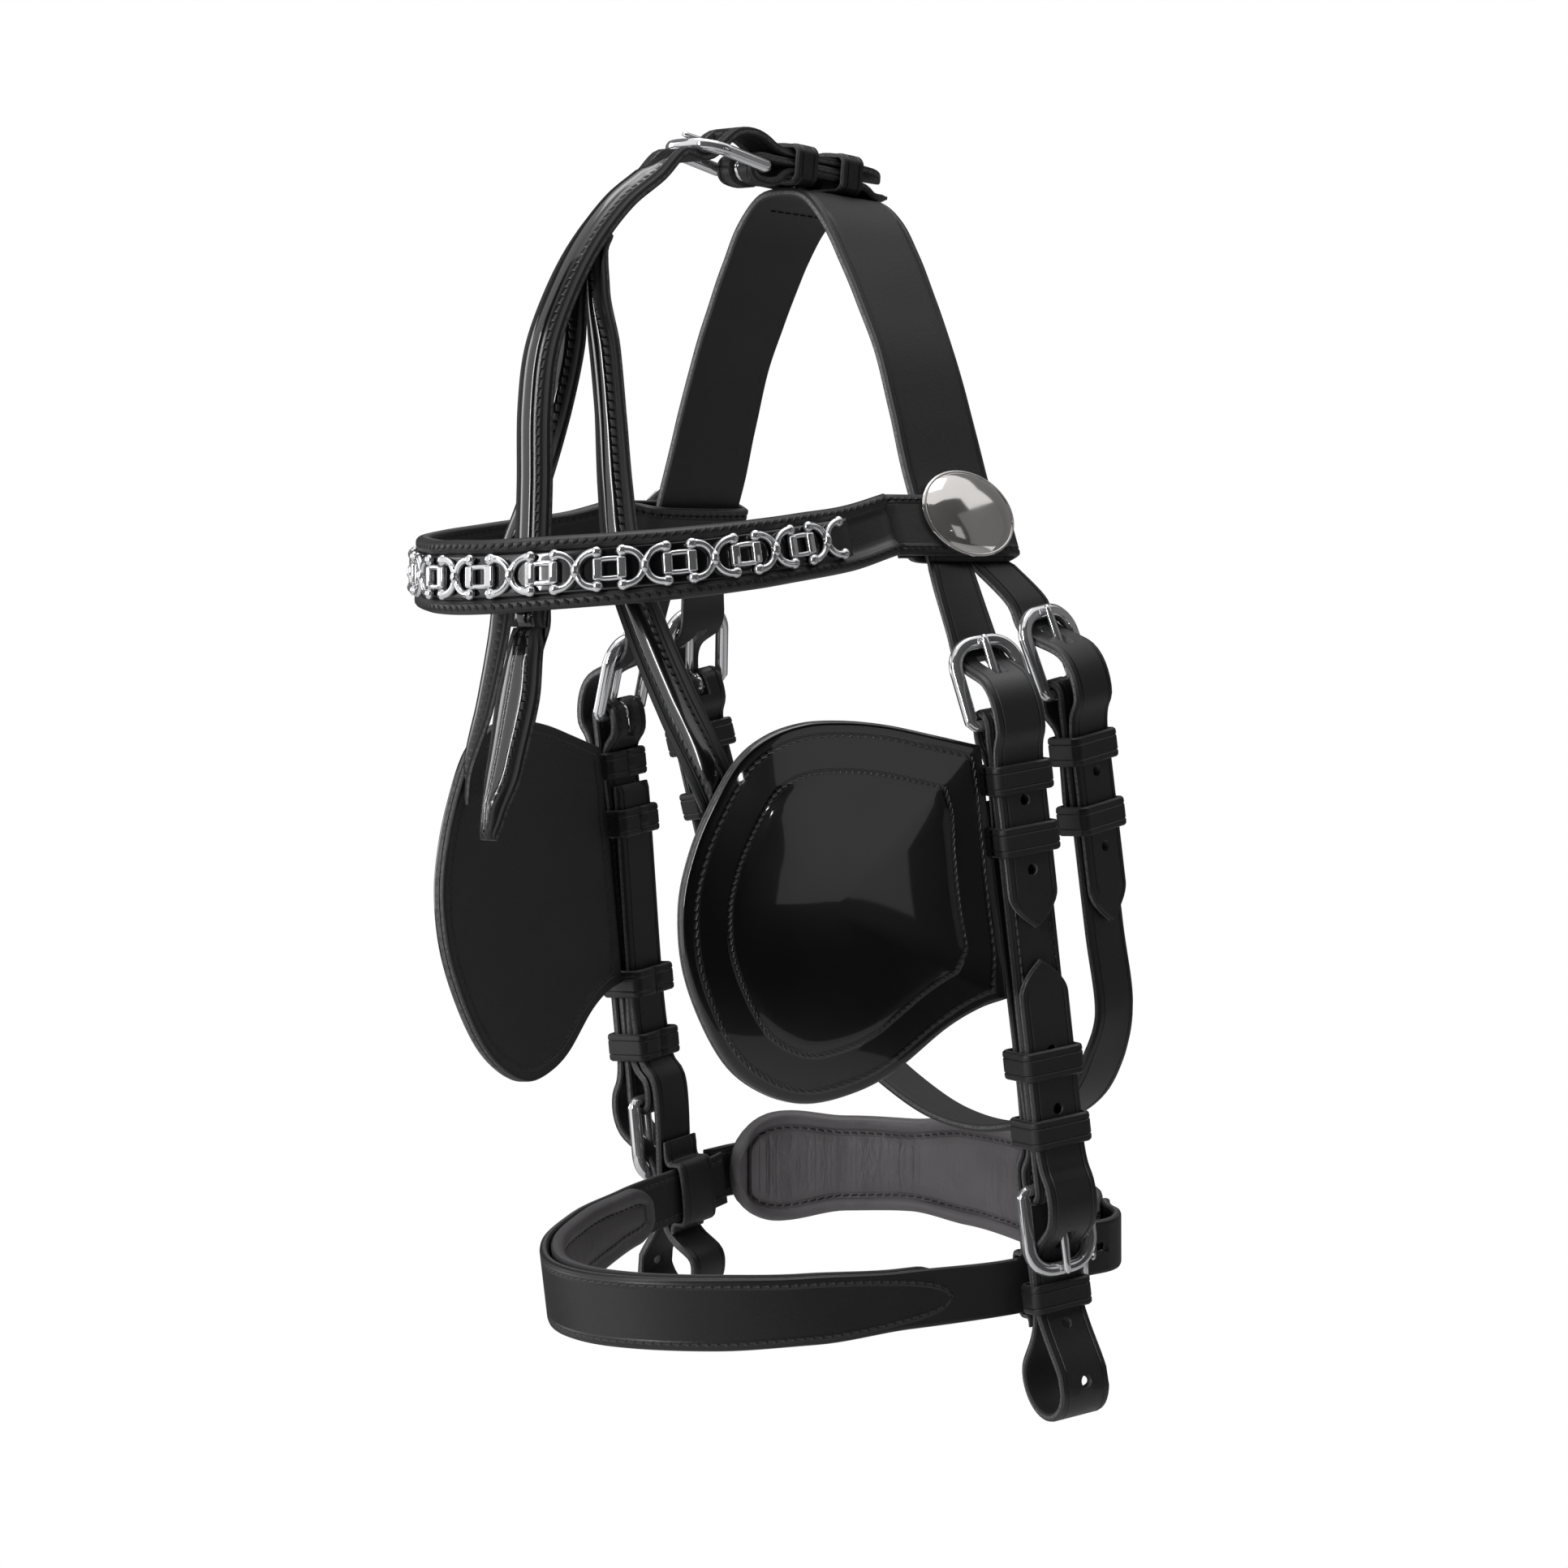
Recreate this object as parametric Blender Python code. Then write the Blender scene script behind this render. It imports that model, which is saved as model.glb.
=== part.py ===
"""Driving bridle of black leather with patent winkers and chrome buckles.

Metres, +Z up.  The horse faces -Y and its left side is +X.
The origin lies under the crown strap, where the bridle rests on the poll.
Every sub-part is one closed solid with its own name.
"""
import math

import bmesh
import bpy
from mathutils import Vector

# Straps
STRAP_WIDTH = 0.019
STRAP_THICK = 0.0030
HEAD_THICK = 0.0035
HEAD_WIDTH = 0.039
FOREHEAD_WIDTH = 0.017
STAY_WIDTH = 0.015
BROWBAND_HEIGHT = 0.025
BROWBAND_END_HEIGHT = 0.022
FIT_GAP = 0.0003

# Buckles: wire radii, length from bar to toe, tongue
WIRE_RADIUS = 0.0022
BAR_RADIUS = 0.0020
FRAME_LENGTH = 0.0285
FRAME_CLEARANCE = 0.0006
TOE_CORNER = 0.0075
BAR_CORNER = 0.0022
TONGUE_WIDTH = 0.0036
TONGUE_THICK = 0.0019
TONGUE_WALL = 0.0012
SLOT_CLEARANCE = 0.0006

# Keepers
KEEPER_WALL = 0.0020
KEEPER_HEIGHT = 0.010

# Layer positions measured outward from a buckle bar
LAYER = STRAP_THICK + FIT_GAP
WRAP = BAR_RADIUS + FIT_GAP + STRAP_THICK / 2
OVER = WRAP + LAYER
UNDER_TOE = -(WIRE_RADIUS + FIT_GAP + STRAP_THICK / 2)

HOLE_STATION = 0.007
HOLE_RADIUS = 0.0020
POINT_REACH = 0.012
CHAPE_SLOT = 0.0065
CHAPE_CLOSED = 0.0130
CHAPE_BACK = 0.045
SLOT_HALF = TONGUE_WIDTH / 2 + SLOT_CLEARANCE

# Cheek: bar of the upper buckle on the left side, lean to the back, toe-in
CHEEK_BAR = (0.1003, -0.0085, -0.180)
CHEEK_TOE_POINT = (0.0893, -0.0110, -0.149)
CHEEK_LEAN_LEFT = 0.150
CHEEK_LEAN_RIGHT = 0.120
CHEEK_TOE_IN = math.radians(13)
CHEEK_LENGTH = 0.160
CHEEK_BILLET_END = 0.070
BILLET_SPACE = 0.011
BIT_BILLET_END = CHEEK_BILLET_END + BILLET_SPACE
CHEEK_KEEPER_AT = 0.0185
CHEEK_RUNNER_AT = 0.0395
BIT_RUNNER_AT = CHEEK_LENGTH - 0.0435
BIT_KEEPER_AT = CHEEK_LENGTH - 0.0200
BIT_STRAP_TOP = 0.026
BIT_LOOP_END = CHEEK_LENGTH + 0.0815
LOOP_KEEPER_AT = CHEEK_LENGTH + 0.0385
NOSEBAND_AT = CHEEK_LENGTH + 0.0345
BIT_HOLE_ABOVE = 0.030
BIT_HOLE_PITCH = 0.020
RIGHT_LIFT = 0.018

# Throatlatch buckles: bar on the left side
THROAT_BAR = (0.0970, 0.0255, -0.170)
THROAT_TOE_POINT = (0.0885, 0.0215, -0.141)
THROAT_TOE_IN = math.radians(-6)
THROAT_BILLET_END = 0.080
THROAT_KEEPER_AT = 0.0195
THROAT_RUNNER_AT = 0.0435
THROAT_LEAN_LEFT = (0.0, 0.165)
THROAT_LEAN_RIGHT = (0.13, 0.19)

# Headpiece beside the rosette: middle of the strap and its slope
ROSETTE_AT = (0.0690, 0.0, -0.1115)
HEAD_SLOPE = (0.364, 0.0, -0.931)
SPLIT_BELOW = 0.0155
BROWBAND_BELOW = 0.0035
ROSETTE_LENGTH = 0.042
ROSETTE_HEIGHT = 0.032
ROSETTE_DOME = 0.0060

# Winkers
WINKER_GAP = 0.0006
WINKER_SKIN = 0.0025
WINKER_POCKET = 0.0015
WINKER_PLATE = 0.0009
WINKER_DOME = 0.0035
WINKER_TUCK = 0.0060

# Paths of the soft straps, from the middle to the left or from top to bottom

BIT_LOOP_RADIUS = 0.0115
BIT_FORK = 0.051
RIGHT_LOOP_RAISE = 0.006
LOOP_THICK = 0.0022
LOOP_TAB_UP = 0.0085
LOOP_TAB_DOWN = 0.0035
THROAT_BACK = 0.040
THROAT_STRAIGHT_LEFT = 0.112
THROAT_STRAIGHT_RIGHT = 0.086
THROAT_CURVE = ((0.0960, 0.0445, -0.2950), (0.0860, 0.0455, -0.3090), (0.0690, 0.0455, -0.3190),
                (0.0450, 0.0440, -0.3240), (0.0200, 0.0435, -0.3210), (-0.0050, 0.0435, -0.3110),
                (-0.0300, 0.0430, -0.2960), (-0.0560, 0.0420, -0.2770),
                (-0.0750, 0.0410, -0.2640))
POLL_TILT = math.radians(6)
CROWN_BAR_AHEAD = 0.037
CROWN_TOE_WAY = (0.0, -0.970, 0.240)
CROWN_KEEPER_AT = 0.0190
CROWN_RUNNER_AT = 0.0405
CROWN_SEWN = 0.0595
CROWN_CHAPE_TOP = 0.0470
CROWN_TIP = 0.0640
FOREHEAD_LINE = ((0.0, -0.1335, -0.1480), (0.0, -0.1318, -0.1280), (0.0, -0.1306, -0.1010),
                 (0.0, -0.1302, -0.0740), (0.0, -0.1273, -0.0546), (0.0, -0.1195, -0.0366),
                 (0.0, -0.1088, -0.0197), (0.0, -0.0944, -0.0044), (0.0, -0.0800, 0.0056))
DROP_LINE = ((0.0, -0.1337, -0.1488), (0.0, -0.1350, -0.1580), (0.0, -0.1385, -0.1750),
             (0.0, -0.1440, -0.1980), (0.0, -0.1490, -0.2140), (0.0, -0.1505, -0.2190))
DROP_WIDTHS = (0.0140, 0.0170, 0.0210, 0.0180, 0.0110, 0.0080)
DROP_THICKS = (0.0030, 0.0060, 0.0080, 0.0060, 0.0040, 0.0030)
BROWBAND_THICK = 0.0036
BROWBAND_LOOP_THICK = 0.0026
BROWBAND_LINE = ((0.0, -0.1600, -0.1315), (0.0140, -0.1588, -0.1313), (0.0338, -0.1495, -0.1300),
                 (0.0515, -0.1360, -0.1285), (0.0653, -0.1180, -0.1265),
                 (0.0720, -0.0970, -0.1240), (0.0736, -0.0758, -0.1212),
                 (0.0736, -0.0546, -0.1182))
INLAY_THICK = 0.0008
INLAY_HEIGHT = 0.0165
CHAIN_THICK = 0.0026
CHAIN_HEIGHT = 0.0150
CHAIN_WAIST = 0.0065
NOSEBAND_REACH = 0.0115
NOSEBAND_RIGHT_END = (-0.0893, 0.0330, -0.3515)
NOSEBAND_LINE = ((-0.0765, -0.0280, -0.3610), (-0.0640, -0.0600, -0.3675),
                 (-0.0450, -0.0870, -0.3730), (-0.0220, -0.1040, -0.3765),
                 (0.0, -0.1090, -0.3780), (0.0220, -0.1040, -0.3785),
                 (0.0450, -0.0870, -0.3785), (0.0640, -0.0600, -0.3775),
                 (0.0765, -0.0280, -0.3755))
NOSEBAND_TALL = (0.0200, 0.0235, 0.0250, 0.0250, 0.0250, 0.0250, 0.0250, 0.0235, 0.0200)
NOSE_PAD_THICK = 0.0045
NOSE_PAD_INSET = 0.003
PAD_END_SWELL = 0.6
NOSEBAND_BAR = (0.0660, 0.0650, -0.3620)
NOSEBAND_TOE_WAY = (0.0195, -0.0205, -0.0040)
NOSEBAND_TIP = 0.0270
JAW_BACK = 0.0220
JAW_STRAIGHT = 0.0280
JAW_LINE = ((0.0280, 0.0955, -0.3545), (0.0040, 0.1000, -0.3505), (-0.0230, 0.0980, -0.3480),
            (-0.0480, 0.0885, -0.3470), (-0.0690, 0.0735, -0.3470), (-0.0850, 0.0560, -0.3480),
            (-0.0922, 0.0430, -0.3490), (-0.0948, 0.0280, -0.3510))
JAW_PAD_THICK = 0.0075
JAW_PAD_TALL = (0.0240, 0.0360, 0.0410, 0.0400, 0.0350, 0.0360, 0.0400, 0.0400, 0.0300)
LINING_THICK = 0.0020
WINKER_TUCK_FROM = 0.035
WINKER_RIGHT_TURN = math.radians(8)
WINKER_RIGHT_DROP = 0.0050
WINKER_SHAPE = ((0.0, 0.0060), (0.0175, -0.0004), (0.0355, -0.0067), (0.0515, -0.0105),
                (0.0665, -0.0120), (0.0805, -0.0098), (0.0925, -0.0033), (0.1045, 0.0106),
                (0.1130, 0.0240), (0.1190, 0.0400), (0.1200, 0.0597), (0.1150, 0.0794),
                (0.1060, 0.0971), (0.0930, 0.1085), (0.0790, 0.1140), (0.0625, 0.1138),
                (0.0460, 0.1095), (0.0255, 0.0988), (0.0115, 0.0940), (0.0, 0.0925))
STAY_THICK = 0.0026
STAY_TURN_FROM = 4
STAY_SEAT = 6
STAY_ASIDE = 0.0043
STAY_BOW = 0.0015
STAY_END = (-0.0045, -0.0030, 0.0995)
STAY_LINE = ((0.0058, -0.1075, -0.0350), (0.0098, -0.1078, -0.0560), (0.0145, -0.1095, -0.0760),
             (0.0210, -0.1130, -0.1010), (0.0300, -0.1170, -0.1260))
STAY_WIDTHS = (0.0080, 0.0080, 0.0105, 0.0150, STAY_WIDTH, STAY_WIDTH, STAY_WIDTH,
               STAY_WIDTH, STAY_WIDTH, 0.0130)
STAY_END_ACROSS = (0.53, 0.60, 0.61)

HEAD_ARCH = ((0.0, 0.0, HEAD_THICK / 2), (0.0110, 0.0, 0.0008), (0.0210, 0.0, -0.0070),
             (0.0300, 0.0, -0.0200), (0.0395, 0.0, -0.0370), (0.0480, 0.0, -0.0540),
             (0.0558, 0.0, -0.0750))
HEAD_TAPER = (HEAD_WIDTH, HEAD_WIDTH, HEAD_WIDTH, HEAD_WIDTH - 0.001, HEAD_WIDTH - 0.002,
              HEAD_WIDTH - 0.003, HEAD_WIDTH - 0.002)

# Colours: (red, green, blue, roughness, metallic)
BLACK_LEATHER = (0.012, 0.012, 0.013, 0.45, 0.0)
PATENT = (0.004, 0.004, 0.005, 0.06, 0.0)
LINING = (0.030, 0.028, 0.029, 0.60, 0.0)
CHROME = (0.78, 0.78, 0.80, 0.12, 1.0)
STEEL = (0.45, 0.46, 0.47, 0.35, 1.0)

FORWARD = Vector((0.0, -1.0, 0.0))
DOWN = Vector((0.0, 0.0, -1.0))
WRAP_STEPS = 6


def clear_scene():
    for item in list(bpy.data.objects):
        bpy.data.objects.remove(item, do_unlink=True)


def material(name, look):
    mat = bpy.data.materials.new(name)
    mat.use_nodes = True
    shader = mat.node_tree.nodes["Principled BSDF"]
    shader.inputs["Base Color"].default_value = (look[0], look[1], look[2], 1.0)
    shader.inputs["Roughness"].default_value = look[3]
    shader.inputs["Metallic"].default_value = look[4]
    return mat


def solid(name, verts, faces, look, origin=(0.0, 0.0, 0.0)):
    """Weld the corner points, turn every face outwards and add the object."""
    start = Vector(origin)
    bm = bmesh.new()
    made = [bm.verts.new(Vector(v) - start) for v in verts]
    for face in faces:
        bm.faces.new([made[i] for i in face])
    bmesh.ops.remove_doubles(bm, verts=bm.verts, dist=1e-6)
    bmesh.ops.recalc_face_normals(bm, faces=bm.faces)
    mesh = bpy.data.meshes.new(name)
    bm.to_mesh(mesh)
    bm.free()
    mesh.materials.append(material(name + "_look", look))
    thing = bpy.data.objects.new(name, mesh)
    thing.location = start
    bpy.context.scene.collection.objects.link(thing)
    return thing


def mirror(point, side):
    return Vector((point[0] * side, point[1], point[2]))


class Place:
    """A local frame: along, out and fore are unit directions at a point."""

    def __init__(self, origin, along, out, side=1):
        self.origin = Vector(origin)
        self.along = Vector(along).normalized()
        out = Vector(out)
        self.out = (out - self.along * out.dot(self.along)).normalized()
        self.fore = self.along.cross(self.out).normalized() * side

    def at(self, along, out, fore=0.0):
        return self.origin + self.along * along + self.out * out + self.fore * fore

    def line(self, points):
        return [self.at(a, n) for a, n in points]


def strap_faces(path, across, widths, thick, closed=False, slots=(), holes=(),
                caps=(True, True), ends=(None, None), forked=(), offset=0):
    """Corner points and faces of a flat strip that follows a path.

    slots holds (first, last, half width) for openings between two stations.
    holes holds (station, half length, half width) for eight-sided holes.
    ends may give the face direction at either end of the path.
    forked lists the stations that have a middle point for two legs.
    """
    count = len(path)
    spans = count if closed else count - 1
    if isinstance(across, Vector):
        across = [across] * count
    if isinstance(widths, float):
        widths = [widths] * count
    if isinstance(thick, float):
        thick = [thick] * count
    normals = []
    for i in range(spans):
        step = path[(i + 1) % count] - path[i]
        wide = across[i] + across[(i + 1) % count]
        normals.append(step.cross(wide).normalized())
    verts = []
    station = []
    for i in range(count):
        before = normals[(i - 1) % spans] if closed or i > 0 else normals[0]
        after = normals[i % spans] if closed or i < spans else normals[-1]
        mean = (before + after) / (1.0 + before.dot(after))
        if i == 0 and ends[0] is not None:
            mean = ends[0]
        if i == count - 1 and ends[1] is not None:
            mean = ends[1]
        columns = [-widths[i] / 2, widths[i] / 2]
        if i in forked:
            columns = [-widths[i] / 2, 0.0, widths[i] / 2]
        for first, last, half in slots:
            if i in (first, last) or first < i < last:
                columns = [-widths[i] / 2, -half, half, widths[i] / 2]
        row = []
        for c in columns:
            mid = path[i] + across[i] * c
            row.append((len(verts) + offset, len(verts) + 1 + offset))
            verts.append(mid + mean * thick[i] / 2)
            verts.append(mid - mean * thick[i] / 2)
        station.append(row)
    faces = []
    for i in range(spans):
        a = station[i]
        b = station[(i + 1) % count]
        inside = [s for s in slots if s[0] <= i < s[1]]
        hole = [h for h in holes if h[0] == i]
        for k in (0, 1):
            if inside:
                faces.append([a[0][k], a[1][k], b[1][k], b[0][k]])
                faces.append([a[2][k], a[3][k], b[3][k], b[2][k]])
            elif not hole:
                faces.append([c[k] for c in a] + [c[k] for c in reversed(b)])
        if inside:
            for c in (1, 2):
                faces.append([a[c][0], b[c][0], b[c][1], a[c][1]])
        if hole:
            _, half_long, half_wide = hole[0]
            centre = (path[i] + path[(i + 1) % count]) / 2
            step = (path[(i + 1) % count] - path[i]).normalized()
            wide = normals[i].cross(step)
            if wide.dot(across[i]) < 0:
                wide = -wide
            ring = []
            for k in (0, 1):
                lift = normals[i] * (thick[i] / 2) * (1 - 2 * k)
                first = len(verts) + offset
                for j in range(8):
                    turn = math.pi * j / 4
                    verts.append(centre + lift + step * (half_long * math.cos(turn))
                                 + wide * (half_wide * math.sin(turn)))
                ring.append(list(range(first, first + 8)))
                corners = [b[-1][k], a[-1][k], a[0][k], b[0][k]]
                for j in range(4):
                    for h in (0, 1):
                        one = ring[k][(2 * j + h) % 8]
                        two = ring[k][(2 * j + h + 1) % 8]
                        faces.append([corners[j], one, two])
                    faces.append([corners[j], ring[k][(2 * j + 2) % 8],
                                  corners[(j + 1) % 4]])
            for j in range(8):
                faces.append([ring[0][j], ring[0][(j + 1) % 8],
                              ring[1][(j + 1) % 8], ring[1][j]])
        faces.append([a[0][0], b[0][0], b[0][1], a[0][1]])
        faces.append([a[-1][0], b[-1][0], b[-1][1], a[-1][1]])
    for first, last, _ in slots:
        for i in (first, last):
            row = station[i]
            faces.append([row[1][0], row[2][0], row[2][1], row[1][1]])
    if not closed:
        if caps[0]:
            faces.append([c[0] for c in station[0]] + [c[1] for c in reversed(station[0])])
        if caps[1]:
            faces.append([c[0] for c in station[-1]] + [c[1] for c in reversed(station[-1])])
    return verts, faces


def strap(name, path, across, widths, thick, look, **more):
    verts, faces = strap_faces(path, across, widths, thick, **more)
    return solid(name, verts, faces, look)


def tube(name, path, radii, look, sides=6, origin=(0.0, 0.0, 0.0), flat=None):
    """A closed ring of round wire; flat is the direction square to the ring."""
    count = len(path)
    verts = []
    faces = []
    for i in range(count):
        step = (path[(i + 1) % count] - path[i - 1]).normalized()
        side = step.cross(flat).normalized()
        for j in range(sides):
            turn = 2 * math.pi * (j + 0.5) / sides
            verts.append(path[i] + side * (radii[i] * math.cos(turn))
                         + flat * (radii[i] * math.sin(turn)))
    for i in range(count):
        for j in range(sides):
            k = (j + 1) % sides
            n = (i + 1) % count
            faces.append([i * sides + j, i * sides + k, n * sides + k, n * sides + j])
    return solid(name, verts, faces, look, origin)


def arc(centre, radius, start, stop, steps):
    points = []
    for i in range(steps + 1):
        turn = math.radians(start + (stop - start) * i / steps)
        points.append((centre[0] + radius * math.cos(turn),
                       centre[1] + radius * math.sin(turn)))
    return points


def buckle_frame(name, place, width):
    """Wire frame: bar at along 0, toe at along FRAME_LENGTH."""
    half = width / 2 + FRAME_CLEARANCE + WIRE_RADIUS
    low = BAR_CORNER
    top = TOE_CORNER
    flat = [((0.0), -(half - low)), (0.0, half - low)]
    flat += arc((low, half - low), low, 180, 90, 2)[1:]
    flat += arc((FRAME_LENGTH - top, half - top), top, 90, 0, 4)
    flat += arc((FRAME_LENGTH - top, -(half - top)), top, 0, -90, 4)
    flat += arc((low, -(half - low)), low, 270, 180, 2)[:-1]
    path = [place.at(a, 0.0, f) for a, f in flat]
    radii = [BAR_RADIUS if a < low * 0.9 else WIRE_RADIUS for a, _ in flat]
    return tube(name, path, radii, CHROME, flat=place.out)


def buckle_tongue(name, place):
    """Eye round the bar and a straight pin that rests on the toe."""
    inner = BAR_RADIUS + FIT_GAP
    outer = inner + TONGUE_WALL
    rest = WIRE_RADIUS + FIT_GAP
    reach = FRAME_LENGTH + WIRE_RADIUS * 0.8
    steps = 12
    eye = [(math.cos(2 * math.pi * i / steps), math.sin(2 * math.pi * i / steps))
           for i in range(steps)]
    ring_in = [(inner / math.cos(math.pi / steps) * x, inner / math.cos(math.pi / steps) * y)
               for x, y in eye]
    ring_out = [(outer * x, outer * y) for x, y in eye]
    pin = [(reach, rest), (reach, rest + TONGUE_THICK * 0.7),
           (FRAME_LENGTH - WIRE_RADIUS, rest + TONGUE_THICK)]
    outline = ring_in + ring_out + pin
    size = len(outline)
    verts = []
    for side in (-1, 1):
        for a, n in outline:
            verts.append(place.at(a, n, side * TONGUE_WIDTH / 2))
    first = 1
    second = 3
    faces = []
    for layer in (0, size):
        for i in range(steps):
            k = (i + 1) % steps
            faces.append([layer + i, layer + k, layer + steps + k, layer + steps + i])
        faces.append([layer + steps + first, layer + 2 * steps, layer + 2 * steps + 1,
                      layer + 2 * steps + 2, layer + steps + second,
                      layer + steps + first + 1])
    for i in range(steps):
        k = (i + 1) % steps
        faces.append([i, k, size + k, size + i])
        if i not in (first, first + 1):
            faces.append([steps + i, steps + k, size + steps + k, size + steps + i])
    rim = [steps + first, 2 * steps, 2 * steps + 1, 2 * steps + 2, steps + second]
    for a, b in zip(rim[:-1], rim[1:]):
        faces.append([a, b, size + b, size + a])
    return solid(name, verts, faces, CHROME, place.origin)


def keeper(name, place, along, inner, outer, width, look, height=KEEPER_HEIGHT):
    """Leather loop round a stack that reaches from inner to outer."""
    gap = FIT_GAP + KEEPER_WALL / 2
    low = inner - gap
    high = outer + gap
    half = width / 2 + gap
    cut = KEEPER_WALL / 2
    corners = [(low, -half + cut), (low, half - cut), (low + cut, half), (high - cut, half),
               (high, half - cut), (high, -half + cut), (high - cut, -half),
               (low + cut, -half)]
    path = [place.at(along, n, f) for n, f in corners]
    verts, faces = strap_faces(path, place.along, height, KEEPER_WALL, closed=True)
    return solid(name, verts, faces, look, place.at(along, 0.0))


def bar_wrap():
    """Points round a bar, from the outer layer to the return layer."""
    half = math.pi / WRAP_STEPS / 2
    reach = WRAP / math.cos(half)
    points = []
    for i in range(WRAP_STEPS):
        turn = math.pi / 2 + (2 * i + 1) * half
        points.append((reach * math.cos(turn), reach * math.sin(turn)))
    return points


def billet_points():
    """Side view of a billet from below the toe to above the bar, in the buckle."""
    return [(FRAME_LENGTH + 0.0045, UNDER_TOE - 0.0002),
            (FRAME_LENGTH - 0.0020, UNDER_TOE),
            (FRAME_LENGTH - 0.0068, UNDER_TOE + 0.0020),
            (FRAME_LENGTH - 0.0165, OVER + 0.0020),
            (0.0050, OVER + 0.0042)]


def billet_settles():
    """The same billet past the bar, measured along the strap below."""
    return [(0.0020, OVER + 0.0036), (0.0070, OVER + 0.0012)]



def chape_points(back):
    """Turned end from the sewn return layer, round the bar, to the outer layer."""
    points = [(back, WRAP - LAYER), (CHAPE_CLOSED, WRAP - LAYER), (CHAPE_SLOT, -WRAP)]
    points += reversed(bar_wrap())
    points.append((CHAPE_SLOT, WRAP))
    return points


def flipped(points, length):
    """The same side view for a bar at the far end of a strap."""
    return [(length - a, n) for a, n in reversed(points)]


def billet_end(place, start, stop, holes, width, out=OVER):
    """Stations of a billet past the bar, with hole stations and a point."""
    path = [place.at(start, out)]
    for spot in holes:
        path.append(place.at(spot - HOLE_STATION / 2 * direction(start, stop), out))
        path.append(place.at(spot + HOLE_STATION / 2 * direction(start, stop), out))
    turn = direction(start, stop)
    path.append(place.at(stop - POINT_REACH * turn, out))
    path.append(place.at(stop - POINT_REACH * 0.35 * turn, out))
    path.append(place.at(stop, out))
    widths = [width] * (len(path) - 2) + [width * 0.62, width * 0.16]
    return path, widths


def direction(start, stop):
    return 1 if stop > start else -1


def cheek_place(side):
    bar = mirror(CHEEK_BAR, side)
    out = (math.cos(CHEEK_TOE_IN) * side, -math.sin(CHEEK_TOE_IN), 0.0)
    lean = CHEEK_LEAN_LEFT if side > 0 else CHEEK_LEAN_RIGHT
    return Place(bar, (0.0, lean, -1.0), out, side)


def buckle_place(bar, toe, like, side=1):
    """Frame of a buckle: along to the toe, fore as in the strap it hangs on."""
    along = toe - bar
    along = (along - like.fore * along.dot(like.fore)).normalized()
    place = Place(bar, along, like.out, side)
    place.fore = like.fore
    return place


def throat_place(side):
    lean = THROAT_LEAN_LEFT if side > 0 else THROAT_LEAN_RIGHT
    out = (math.cos(THROAT_TOE_IN) * side, -math.sin(THROAT_TOE_IN), 0.0)
    return Place(mirror(THROAT_BAR, side), (-lean[0] * side, lean[1], -1.0), out, side)


def side_drop(side):
    return 0.0 if side > 0 else RIGHT_LIFT


def tag(side):
    return "left" if side > 0 else "right"


def offset(path, across, distance):
    """A path moved square to its face by a distance."""
    count = len(path)
    if isinstance(across, Vector):
        across = [across] * count
    normals = []
    for i in range(count - 1):
        step = path[i + 1] - path[i]
        normals.append(step.cross(across[i] + across[i + 1]).normalized())
    moved = []
    for i in range(count):
        before = normals[max(i - 1, 0)]
        after = normals[min(i, count - 2)]
        moved.append(path[i] + (before + after) / (1.0 + before.dot(after)) * distance)
    return moved


def chain_points(path):
    """Joints at the corners of a path and waists between them, with their heights."""
    middle = len(path) // 2
    points = []
    tall = []
    for i in range(len(path)):
        points.append(path[i])
        tall.append(CHAIN_WAIST if i == middle else CHAIN_HEIGHT)
        if i + 1 < len(path) and middle not in (i, i + 1):
            points.append((path[i] + path[i + 1]) / 2)
            tall.append(CHAIN_WAIST)
    return points, tall


def soft_pad(name, path, across, widths, thick, side, look):
    """Padded band: flat back, drawn-in edges and a crown on its inner side."""
    section = ((-0.46, 0.0), (-0.50, 0.30), (-0.43, 0.74), (-0.24, 1.0), (0.24, 1.0),
               (0.43, 0.74), (0.50, 0.30), (0.46, 0.0))
    count = len(path)
    if isinstance(across, Vector):
        across = [across] * count
    raised = offset(path, across, side)
    verts = []
    faces = []
    size = len(section)
    for i in range(count):
        swell = PAD_END_SWELL if i in (0, count - 1) else 1.0
        lift = raised[i] - path[i]
        for c, h in section:
            verts.append(path[i] + across[i] * (c * widths[i])
                         + lift * ((h * swell - 0.5) * thick))
    for i in range(count - 1):
        for j in range(size):
            k = (j + 1) % size
            faces.append([i * size + j, i * size + k, (i + 1) * size + k,
                          (i + 1) * size + j])
    faces.append(list(range(size)))
    faces.append(list(range((count - 1) * size, count * size)))
    return solid(name, verts, faces, look)


def both_sides(half):
    """Full path from the right to the left; the half path starts at the middle."""
    right = [mirror(p, -1) for p in reversed(half[1:])]
    return right + [Vector(p) for p in half]


# Headpiece over the poll


def head_side(side):
    """Place beside the rosette: along down the headpiece, out away from the cheek."""
    slope = mirror(HEAD_SLOPE, side)
    return Place(mirror(ROSETTE_AT, side), slope, (side, 0.0, 0.0), side)


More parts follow.
